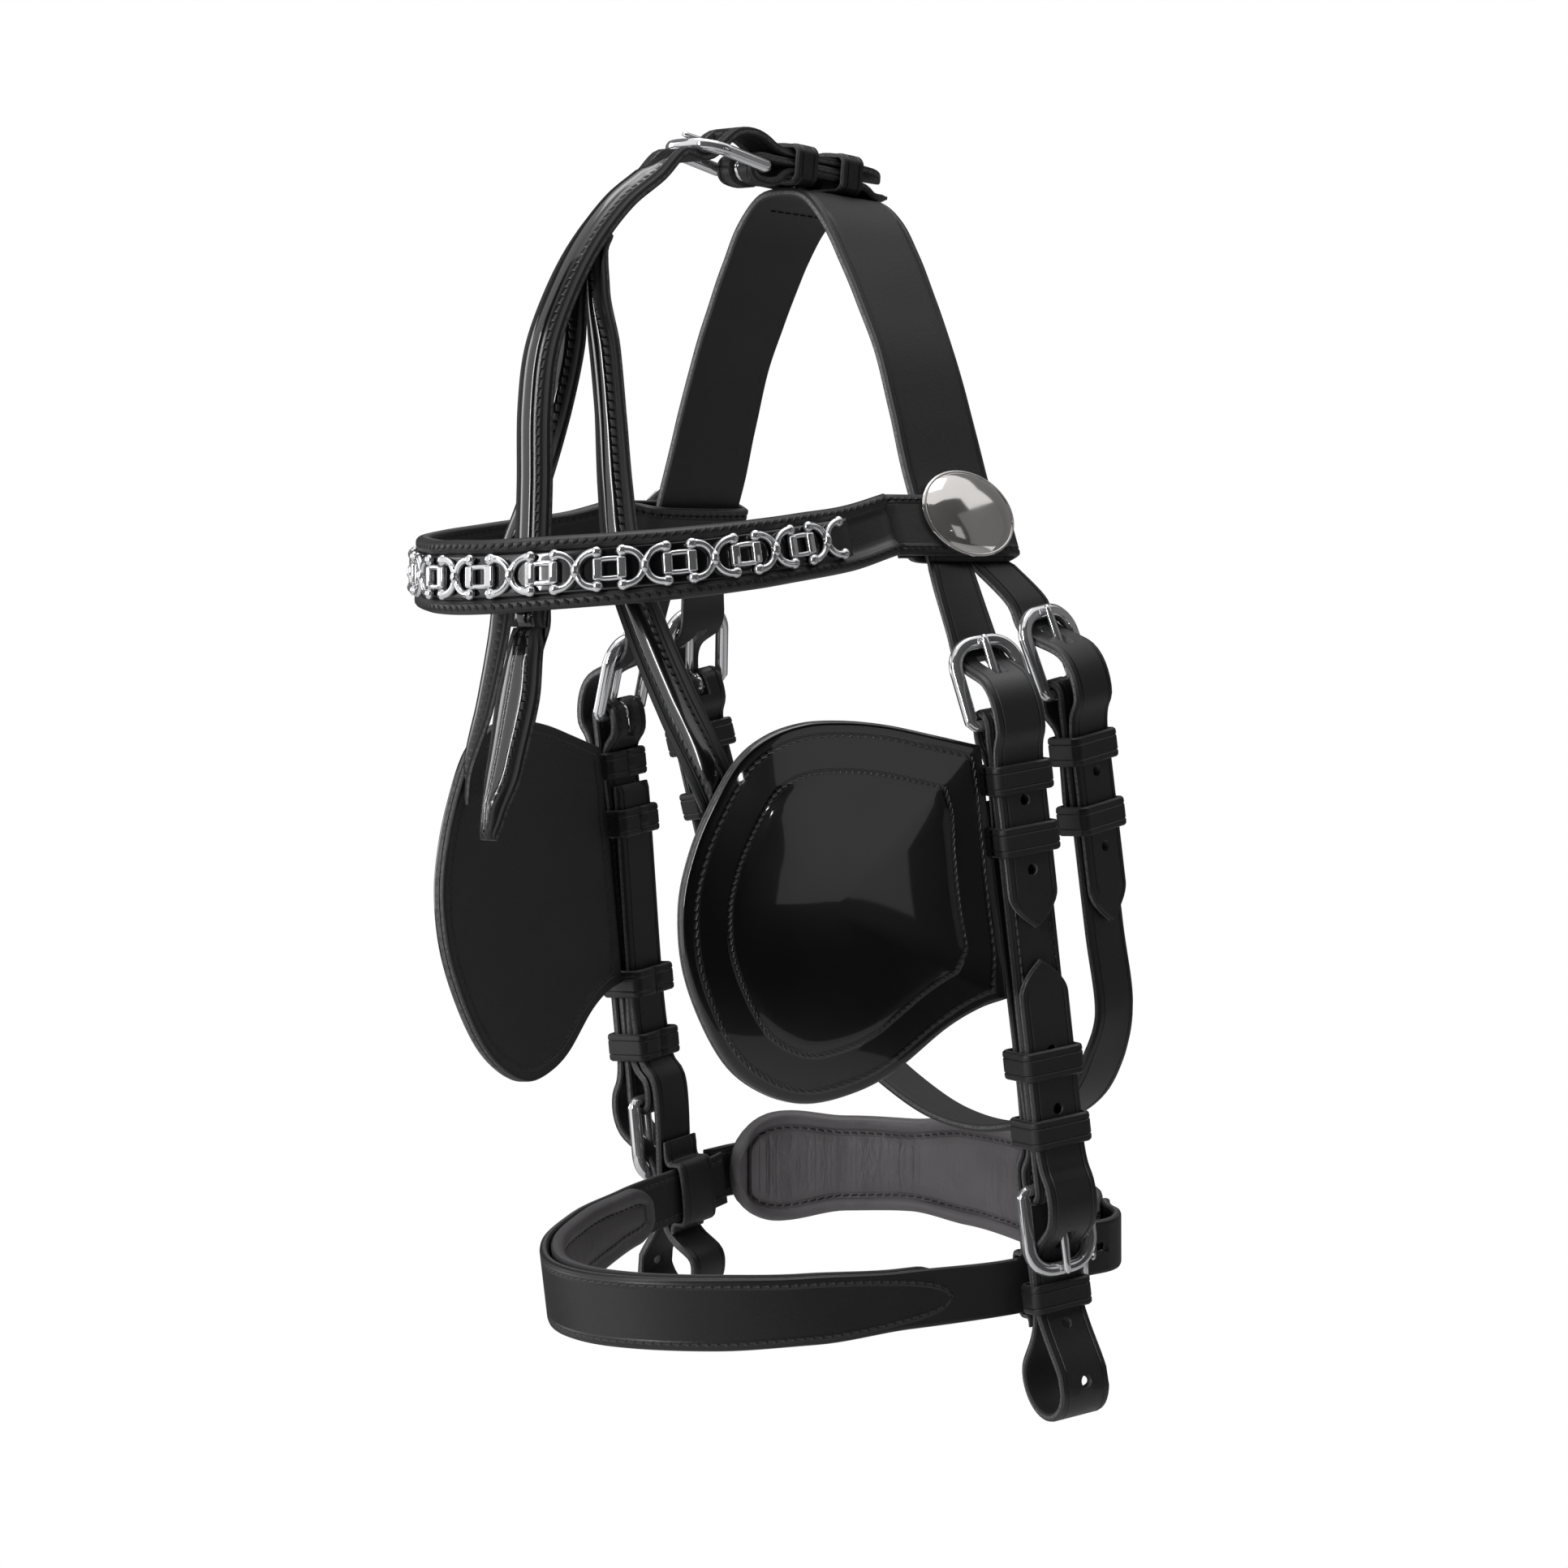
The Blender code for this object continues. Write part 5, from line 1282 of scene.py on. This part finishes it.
def throatlatch():
    left = throat_place(1)
    right = throat_place(-1)
    ends = chape_points(THROAT_BACK)
    size = len(ends)
    path = left.line(ends) + [left.at(THROAT_STRAIGHT[1] - THROAT_LEVEL, WRAP)]
    path.append(left.at(THROAT_STRAIGHT[1], WRAP))
    path += THROAT_CURVE
    path.append(right.at(THROAT_STRAIGHT[-1], WRAP))
    path += right.line(reversed(ends))
    across = [left.fore] * (size + 2) + [FORWARD] * len(THROAT_CURVE)
    across += [right.fore] * (size + 1)
    route = Route(path, across, -left.out)
    at = route.stations
    last = len(path) - 1
    bm = strap(route, slots=((at[2], at[size - 1]), (at[last - size + 1], at[last - 2])))
    piece("throatlatch_strap", bm, BRIDLE_LEATHER, ("throatlatch",))


# Crown, forehead strap, stays and face drop


def crown():
    place = crown_place()
    ret = WRAP - LAYER
    buckle("crown", place.frame)
    keepers(place, (("crown_fixed_keeper", CROWN_KEEPER_AT, ret, OVER),
                    ("crown_runner", CROWN_RUNNER_AT, ret, OVER)),
            bend=CROWN_KEEPER_BEND, dome_rise=CROWN_KEEPER_DOME)
    seat = ret - FIT_GAP - KEEPER_WALL
    view = [(CROWN_SEWN, seat), (CROWN_SEWN - CROWN_DIP[0], seat),
            (CROWN_SEWN - CROWN_DIP[1], ret)]
    view += chape_points(CHAPE_BACK)[1:]
    view.append((CROWN_CHAPE_TOP, WRAP))
    route = place.route(view)
    at = route.stations
    bm = strap(route, slots=((at[4], at[5 + WRAP_STEPS]),))
    piece("crown_chape_leather", bm, SEWN_LEATHER, ("crown_chape",))


def forehead_strap():
    """Rolled patent front, buckled into the crown."""
    place = crown_place()
    first = len(FOREHEAD_LINE)
    path = FOREHEAD_LINE + place.billet() + place.line(FOREHEAD_BILLET)
    route = Route(path, ACROSS_FACE, FORWARD)
    at = route.stations
    hole = len(path) - 5
    bm = strap(route, FOREHEAD_WIDTH, STRAP_THICK, holes=((at[hole] + at[hole + 1]) / 2,),
               slots=(at[first + 2:first + 4],), tips=(False, True))
    core_end = at[first] - CORE_SHORT

    def core(along, inset, _):
        if along >= core_end or inset <= FOREHEAD_HEM:
            return 0.0
        x = 1 - (inset - FOREHEAD_HEM) / (FOREHEAD_WIDTH / 2 - FOREHEAD_HEM)
        return FOREHEAD_CORE * min((core_end - along) / CORE_FADE, 1.0) * dome(x)

    lifted(bm, route, core)
    patent_piece("forehead_strap_patent", bm, ROLLED_PATENT, ("forehead_strap",))


def stay_points(side):
    lower, upper = FOREHEAD_LINE[STAY_SEAT:STAY_SEAT + 2]
    back = (upper - lower).cross(ACROSS_FACE).normalized()
    if back.y < 0:
        back = -back
    away = (STRAP_THICK + STAY_THICK) / 2 + FIT_GAP
    path = []
    for share in STAY_STARTS:
        spot = lower.lerp(upper, share) + back * away
        path.append(Vector((STAY_ASIDE * side, spot.y, spot.z)))
    path += [mirror(p, side) for p in STAY_LINE]
    end = winker_place(side).at(*STAY_END)
    start = path[-1]
    for share, bow in STAY_BOWS:
        path.append(start.lerp(end, share) + Vector((-bow * side, 0.0, -bow)))
    path += [end, winker_place(side).at(*STAY_UNDER)]
    return path


def winker_stay(side, tag):
    """Rolled patent strap from the forehead strap to the top of a winker."""
    path = stay_points(side)
    end = mirror(STAY_END_ACROSS, side) * side
    across = []
    for i in range(len(path)):
        share = min(max(i - STAY_TURN_FROM, 0) / (len(path) - 2 - STAY_TURN_FROM), 1.0)
        across.append(ACROSS_FACE.lerp(end, share).normalized())
    own = winker_place(side)
    flat = (own.fore * STAY_FLAT[0] + own.along * STAY_FLAT[1]) * side
    across[-2:] = [(end + flat).normalized(), flat]
    route = Route(path, across, FORWARD)
    bm = strap(route, STAY_WIDTH, STAY_THICK, widths=STAY_WIDTHS, crown=STAY_SWELL,
               hem=STAY_HEM, end_swell=STAY_END_SWELL, tips=(True, False))
    stay = patent_piece("winker_stay_patent_" + tag, bm, ROLLED_PATENT,
                        ("winker_stay_" + tag,), body=None)
    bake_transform(stay)


def face_drop():
    """Leaf-shaped patent drop of two halves that meet in a sewn ridge."""
    path = [DROP_LINE[0] + UP * DROP_TOP_UP] + DROP_LINE[1:]
    route = Route(path, ACROSS_FACE, FORWARD)
    bm = strap(route, max(DROP_WIDTHS), DROP_THICK, widths=DROP_WIDTHS, crown=DROP_SWELL,
               hem=DROP_HEM, end_swell=DROP_END_SWELL, creases=False,
               centre_groove=DROP_GROOVE)
    patent_piece("face_drop_patent", bm, DROP_PATENT, ("face_drop",), "face_drop_body")
    tab = [spot + TAB_BEHIND for spot in (path[0] + UP * TAB_UP, path[0], path[1])]
    bm = strap(Route(tab, ACROSS_FACE, FORWARD), max(TAB_WIDTHS), TAB_THICK, creases=False,
               widths=TAB_WIDTHS)
    hinge = piece("face_drop_hinge_tab", bm, KEEPER_LEATHER, body=None)
    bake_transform(hinge)


# Browband, its chain, and the rosettes


def browband_line():
    """Stations of the left half, their width directions and their heights."""
    beside = head_side(1)
    plain = len(BROWBAND_LINE)
    flush = HEAD_THICK / 2 + FIT_GAP + BROWBAND_LOOP_THICK / 2
    edge = STRAP_WIDTH + FIT_GAP + BROWBAND_LOOP_THICK / 2 + BROWBAND_PLAY
    step = BROWBAND_LOOP_THICK + FIT_GAP
    half = BROWBAND_LINE + [beside.at(BROWBAND_BELOW, out, fore) for out, fore in (
        (flush, edge + BROWBAND_JOIN), (flush, -edge), (-flush, -edge), (-flush, edge),
        (flush - step, edge + BROWBAND_TAIL[0]), (flush - step, edge + BROWBAND_TAIL[1]))]
    across = []
    for i in range(len(half)):
        share = min(max(i - 2, 0) / (plain - 2), 1.0)
        across.append(DOWN.lerp(Vector(HEAD_SLOPE), share).normalized())
    high = [BROWBAND_HEIGHT - (BROWBAND_HEIGHT - BROWBAND_END_HEIGHT) * min(i / plain, 1.0)
            for i in range(len(half))]
    return half, across, high, plain


def squared(points, across, cut):
    """Right-angled corners of a line cut short, so that the smooth route keeps them tight."""
    line = [points[0]]
    wide = [across[0]]
    for i in range(1, len(points) - 1):
        before = points[i - 1] - points[i]
        after = points[i + 1] - points[i]
        if before.angle(after) < SQUARE_UNDER:
            line += [points[i] + before.normalized() * cut, points[i] + after.normalized() * cut]
            wide += [across[i]] * 2
        else:
            line.append(points[i])
            wide.append(across[i])
    return line + [points[-1]], wide + [across[-1]]


def browband():
    half, across, high, plain = browband_line()
    line = both_sides(half[:plain + 1])
    wide = [mirror(a, -1) for a in across[plain:0:-1]] + across[:plain + 1]
    route = Route(line, wide, TO_RIGHT)
    parts = [strap(route, BROWBAND_HEIGHT, BROWBAND_THICK, ridges=BROWBAND_RIDGE, creases=False,
                   widths=high[plain:0:-1] + high[:plain + 1])]
    for side, _ in SIDES:
        tail = [mirror(p, side) for p in half[plain:]]
        slope = [mirror(a, side) for a in across[plain:]]
        turn = Route(*squared(tail, slope, BROWBAND_CORNER), Vector((side, 0.0, 0.0)))
        parts.append(strap(turn, BROWBAND_END_HEIGHT, BROWBAND_LOOP_THICK))
    piece("browband_leather", merged(*parts), BROWBAND_LEATHER, ("browband",))
    middle = route.length / 2
    reach = route.stations[len(line) - 2] - middle
    marks = [middle + reach * (i / INLAY_STEPS - 1) for i in range(2 * INLAY_STEPS + 1)]
    inlay = Route([route.at(s, 0.0, INLAY_LEVEL) for s in marks],
                  [(route.at(s, 1.0, 0.0) - route.at(s, 0.0, 0.0)).normalized() for s in marks],
                  TO_RIGHT)
    bm = strap(inlay, INLAY_HEIGHT, INLAY_THICK, creases=False)
    patent_piece("browband_inlay_patent", bm, INLAY_PATENT, ("browband_inlay",))
    browband_chain(route, middle)


def link_part():
    """One chain link, flat: two horseshoes back to back, with ball tips and a boss."""
    parts = []
    for turn in (-1, 1):
        line = []
        thick = []
        for i in range(2 * LINK_STEPS + 1):
            share = i / LINK_STEPS - 1
            angle = math.radians(LINK_SWEEP) * share
            line.append(Vector((turn * (LINK_APART + LINK_BEND * (1 - math.cos(angle))),
                                LINK_BEND * math.sin(angle), 0.0)))
            thick.append(LINK_WIRE * (1.0 + LINK_THICKENS * abs(share) ** 3))
        parts.append(rod(line, thick, fine=3))
        parts += [ball(tip, LINK_TIP, LINK_TIP_SHAPE) for tip in (line[0], line[-1])]
    parts.append(ball(LINK_BOSS_AT, LINK_BOSS, LINK_BOSS_SHAPE))
    return merged(*parts)


def ball(spot, radius, stretch):
    bm = bmesh.new()
    bmesh.ops.create_uvsphere(bm, u_segments=14, v_segments=10, radius=radius)
    bmesh.ops.scale(bm, verts=bm.verts[:], vec=stretch)
    bmesh.ops.translate(bm, verts=bm.verts[:], vec=spot)
    return bm


def joiner_part():
    """Ring of two flat-faced bars that hooks two links together."""
    parts = []
    for turn in (-1, 1):
        post = bmesh.new()
        bmesh.ops.create_cube(post, size=1.0)
        bmesh.ops.scale(post, verts=post.verts[:], vec=(JOINER_WIDE, 2 * JOINER_HIGH, JOINER_DEEP))
        bmesh.ops.bevel(post, geom=post.edges[:], offset=JOINER_ROUND, segments=4, profile=0.5,
                        affect="EDGES", material=-1)
        bmesh.ops.translate(post, verts=post.verts[:], vec=(turn * JOINER_BAR, 0.0, 0.0))
        bow = [(x, turn * JOINER_HIGH * share, -JOINER_SUNK) for x, share in JOINER_BOW]
        parts += [post, rod(bow, JOINER_WIRE, fine=3)]
    return merged(*parts)


def browband_chain(route, middle):
    """Links and joiners in turn, bent round the browband."""
    parts = []
    for i in range(-2 * LINKS_EACH_SIDE, 2 * LINKS_EACH_SIDE + 1):
        part = joiner_part() if i % 2 else link_part()
        start = middle + i * LINK_PITCH / 2
        for v in part.verts:
            v.co = route.at(start + v.co.x, -v.co.y, CHAIN_LEVEL + v.co.z)
        bmesh.ops.recalc_face_normals(part, faces=part.faces[:])
        parts.append(part)
    metal_piece("browband_chain_links", merged(*parts), "browband_chain")


def rosette(side, tag):
    """Oval dome on a thin rim, spun from its profile."""
    place = head_side(side)
    base = HEAD_THICK / 2 + FIT_GAP + BROWBAND_LOOP_THICK + FIT_GAP
    bm = bmesh.new()
    verts = [bm.verts.new((r, 0.0, h)) for r, h in ROSETTE_PROFILE]
    edges = [bm.edges.new(pair) for pair in zip(verts[:-1], verts[1:])]
    bmesh.ops.spin(bm, geom=verts + edges, cent=(0, 0, 0), axis=(0, 0, 1),
                   angle=2 * math.pi, steps=72, use_merge=True)
    bmesh.ops.remove_doubles(bm, verts=bm.verts[:], dist=1e-6)
    for v in bm.verts:
        v.co = place.at(v.co.x * ROSETTE_HEIGHT / 2, base + v.co.z,
                        v.co.y * ROSETTE_LENGTH / 2)
    bmesh.ops.recalc_face_normals(bm, faces=bm.faces[:])
    metal_piece("rosette_dome_" + tag, bm, "rosette_" + tag, ROSETTE_METAL)


# Noseband, jaw strap and their padding


def noseband():
    left = cheek_place(1)
    right = cheek_place(-1)
    depth = noseband_depth()
    path = [Vector(NOSEBAND_RIGHT_END)]
    path += [right.at(NOSEBAND_AT - RIGHT_LIFT, depth, reach * NOSEBAND_REACH)
             for reach in (-1, 1)]
    path += NOSEBAND_LINE
    path += [left.at(NOSEBAND_AT, depth, reach * NOSEBAND_REACH) for reach in (1, -1)]
    place = jaw_place()
    first = len(path)
    path += place.billet() + billet_end(place, CHAPE_CLOSED, NOSEBAND_TIP, ())
    rest = len(path) - first
    widths = [STRAP_WIDTH] * 3 + list(NOSEBAND_TALL) + [STRAP_WIDTH] * (2 + rest)
    route = Route(path, [left.along] * first + [place.fore] * rest, TO_RIGHT)
    at = route.stations
    bm = strap(route, max(widths), STRAP_THICK, widths=widths, tips=(False, True),
               slots=(at[first + 2:first + 4],), creases=False,
               sewn_point=(at[first - 3] - SEWN_POINT[0], at[first - 3] + SEWN_POINT[1]))
    piece("noseband_leather", bm, SEWN_LEATHER, ("noseband",))
    inside = path[3:first - 2]
    ends = [inside[i].lerp(beyond, NOSE_PAD_PAST)
            for i, beyond in ((0, path[2]), (-1, path[first - 2]))]
    inside = [ends[0]] + inside + [ends[1]]
    tall = (NOSEBAND_TALL[0], *NOSEBAND_TALL, NOSEBAND_TALL[-1])
    away = (STRAP_THICK + NOSE_PAD_THICK) / 2 + FIT_GAP
    line = offset(inside, left.along, away)
    lining("noseband_lining_pad", "noseband_padding", Route(line, left.along, line[0] - inside[0]),
           NOSE_PAD_THICK, [w + NOSE_PAD_PROUD for w in tall], NOSE_PAD_CRINKLE,
           NOSE_PAD_ROUND)


def lining(name, node, route, thick, tall, crinkle, round_end):
    """Soft pad on the inner face: crowned, drawn in at its edges and creased by wear."""
    bm = strap(route, max(tall), thick * PAD_FLAT, widths=tall, creases=False,
               piped=thick * PAD_CROWN, round_end=round_end)

    def worn(along, inset, spot):
        if inset <= PAD_PLAIN_EDGE:
            return 0.0
        fold, wrinkle = (noise.noise(Vector((along * fine, spot.z * high, layer)))
                         for fine, high, layer in (PAD_FOLDS, PAD_WRINKLES))
        return crinkle * (fold + 0.5 * wrinkle)

    lifted(bm, route, worn)
    pad = piece(name, bm, SOFT_LINING, (node,))


def jaw_strap():
    place = jaw_place()
    ends = chape_points(JAW_BACK)
    size = len(ends)
    path = place.line(ends + [(JAW_STRAIGHT, WRAP)])
    across = [place.fore] * len(path)
    across += [place.fore.lerp(DOWN, min((i + 1) / 3, 1.0)).normalized()
               for i in range(len(JAW_LINE))]
    path += JAW_LINE
    route = Route(path, across, -place.out)
    at = route.stations
    bm = strap(route, slots=((at[2], at[size - 1]),))
    piece("jaw_strap_leather", bm, SEWN_LEATHER, ("jaw_strap",))
    buckle("noseband", place.frame)
    inside = path[size:]
    away = (STRAP_THICK + JAW_PAD_THICK) / 2 + 2 * FIT_GAP
    line = offset(inside, across[size:], away)
    line[0] = line[0].lerp(line[1], JAW_PAD_SHORT[0])
    line[-1] = line[-2].lerp(line[-1], JAW_PAD_SHORT[1])
    lining("jaw_pad_lining", "jaw_pad", Route(line, across[size:], line[0] - inside[0]),
           JAW_PAD_THICK, JAW_PAD_TALL, JAW_PAD_CRINKLE, JAW_PAD_ROUND)


# Winkers


def winker_place(side):
    place = cheek_place(side)
    edge = STRAP_WIDTH / 2 + FIT_GAP + KEEPER_WALL + WINKER_GAP
    turn = WINKER_TURN[side]
    hinge = place.at(WINKER_DROP[side], WRAP - LAYER / 2, edge)
    own = Place(hinge, place.along, place.out * math.cos(turn) + place.fore * math.sin(turn),
                side)
    own.fore = place.fore * math.cos(turn) - place.out * math.sin(turn)
    return own


def winker_outline():
    """Smooth outline through the chosen points, as a closed list."""
    count = len(WINKER_SHAPE)
    line = []
    for i in range(count):
        p0, p1, p2, p3 = (Vector((*WINKER_SHAPE[(i + k) % count], 0.0)) for k in (-1, 0, 1, 2))
        m1 = (p2 - p0) / 2 if i else p2 - p1
        m2 = (p3 - p1) / 2 if i < count - 2 else p2 - p1
        for k in range(6):
            if i < count - 1:
                line.append(hermite(p1, m1, p2, m2, k / 6))
            else:
                line.append(p1.lerp(p2, k / 6))
    return line


def winker_sheet(place, turn, thick, bulge):
    """Closed sheet in the winker's outline, domed, on one side of the seam."""
    line = winker_outline()
    count = len(line)
    middle = sum(line, Vector()) / count
    span = max(p.x for p in line)
    starts = [0.0]
    for i in range(count):
        starts.append(starts[-1] + (line[(i + 1) % count] - line[i]).length)
    bm = bmesh.new()
    spoke = bm.verts.layers.int.new("spoke")
    depth = bm.verts.layers.float.new("depth")
    cut = bm.loops.layers.float_vector.new("cut")
    ring = [bm.verts.new(p) for p in line]
    for i, v in enumerate(ring):
        v[spoke] = i
    edges = [bm.edges.new((ring[i], ring[(i + 1) % count])) for i in range(count)]
    for scale in WINKER_RINGS:
        grown = bmesh.ops.extrude_edge_only(bm, edges=edges)["geom"]
        fresh = {g for g in grown if isinstance(g, bmesh.types.BMVert)}
        edges = [g for g in grown if isinstance(g, bmesh.types.BMEdge)
                 and all(v in fresh for v in g.verts)]
        for v in fresh:
            home = line[v[spoke]]
            v.co = middle + (home - middle) * scale
    bmesh.ops.contextual_create(bm, geom=edges)
    bmesh.ops.poke(bm, faces=[f for f in bm.faces if len(f.verts) > 4])
    raised = bmesh.ops.extrude_face_region(bm, geom=bm.faces[:])["geom"]
    top = {v for v in raised if isinstance(v, bmesh.types.BMVert)}
    for v in bm.verts:
        across, along, _ = v.co
        scale = min((v.co - middle).length / (line[v[spoke]] - middle).length, 1.0)
        inset = min((v.co - p).length for p in line)
        down = max(along - WINKER_TUCK_FROM, 0.0) / WINKER_TUCK_REACH
        rise = (WINKER_DOME * (1 - scale * scale)
                - WINKER_TUCK * down * down * across / span)
        level = FIT_GAP / 2
        if v in top:
            soft = 1 - min(inset / EDGE_ROUND, 1.0)
            panel = min(max((inset - WINKER_PANEL_FROM) / WINKER_PANEL_RISE, 0.0), 1.0)
            level += thick * (WINKER_EDGE + (1 - WINKER_EDGE) * dome(soft)) + bulge * eased(panel)
        v[depth] = inset
        v.co = place.at(along, rise + turn * level, across)
    bmesh.ops.recalc_face_normals(bm, faces=bm.faces[:])
    for face in bm.faces:
        spokes = [v[spoke] for v in face.verts]
        wraps = max(spokes) - min(spokes) > count / 2
        for loop in face.loops:
            v = loop.vert
            start = starts[count if wraps and v[spoke] < count / 2 else v[spoke]]
            loop[cut] = (start, v[depth], 1.0 if v in top else 0.0)
    return bm


def winker(side, tag):
    place = winker_place(side)
    body = "winker_" + tag
    patent_piece("winker_patent_" + tag, winker_sheet(place, 1, WINKER_SKIN, WINKER_BULGE),
                 WINKER_PATENT, ("blinker_outer_" + tag, "blinker_plate_" + tag), body)
    piece("winker_lining_" + tag, winker_sheet(place, -1, LINING_THICK, 0.0), WINKER_LINING,
          ("blinker_lining_" + tag,), body=body)


# Stage


def stage_plane(name, size, matrix, shade, seen=True):
    """A flat sheet of the studio, not part of the bridle."""
    bm = bmesh.new()
    bmesh.ops.create_grid(bm, x_segments=1, y_segments=1, size=size, matrix=matrix)
    look, _, shader = material(name)
    plug(shader["Base Color"], (shade, shade, shade, 1.0))
    plug(shader["Roughness"], 0.9)
    thing = add(name, meshed(name, bm))
    thing.data.materials.append(look)
    thing.visible_camera = seen


def facing(spot, target):
    """A turn that points a lamp's -Z from its spot at a target."""
    way = Vector(target) - Vector(spot)
    return Matrix.Translation(spot) @ way.to_track_quat("-Z", "Y").to_matrix().to_4x4()


def lamp(name, spot, wide, high, power):
    light = bpy.data.lights.new(name, "AREA")
    light.shape = "RECTANGLE"
    light.size = wide
    light.size_y = high
    light.energy = power
    add(name, light).matrix_world = facing(spot, LAMP_AIM)


def studio():
    """Plain pale floor, white surroundings, soft lamps."""
    stage_plane("floor", FLOOR_HALF, Matrix.Translation((0.0, 0.0, FLOOR_HEIGHT)), FLOOR_SHADE)
    for name, spot, half, shade in SCREENS:
        stage_plane(name, half, facing(spot, (0.0, 0.0, spot[2])), shade, seen=False)
    world = bpy.data.worlds.new("surroundings")
    bpy.context.scene.world = world
    world.use_nodes = True
    tree = world.node_tree
    sky = tree.nodes["Background"].inputs
    plug(sky["Color"], (1.0, 1.0, 1.0, 1.0))
    rays = tree.nodes.new("ShaderNodeLightPath").outputs
    seen = [Signal(rays["Is " + kind + " Ray"]) for kind in ("Camera", "Glossy", "Transmission")]
    plug(sky["Strength"], (seen[0] | seen[1] | seen[2]) * (1.0 - AMBIENT) + AMBIENT)
    for settings in LAMPS:
        lamp(*settings)


def camera():
    """Level camera, aimed past the middle of the bridle as in the photograph."""
    lens = bpy.data.cameras.new("camera")
    lens.lens = CAMERA_LENS
    lens.sensor_width = 36.0
    lens.shift_x, lens.shift_y = CAMERA_SHIFT
    turn = math.radians(CAMERA_TURN)
    spot = Vector((math.sin(turn), -math.cos(turn), 0.0)) * CAMERA_REACH
    spot.z = CAMERA_HEIGHT
    thing = add("camera", lens)
    thing.matrix_world = facing(spot, (0.0, 0.0, CAMERA_HEIGHT))
    bpy.context.scene.camera = thing


bpy.context.scene.view_settings.view_transform = "Standard"
headpiece()
for side, tag in SIDES:
    cheek(side, tag)
    throat_side(side, tag)
    rosette(side, tag)
    winker(side, tag)
    winker_stay(side, tag)
throatlatch()
crown()
forehead_strap()
face_drop()
browband()
noseband()
jaw_strap()
studio()
camera()
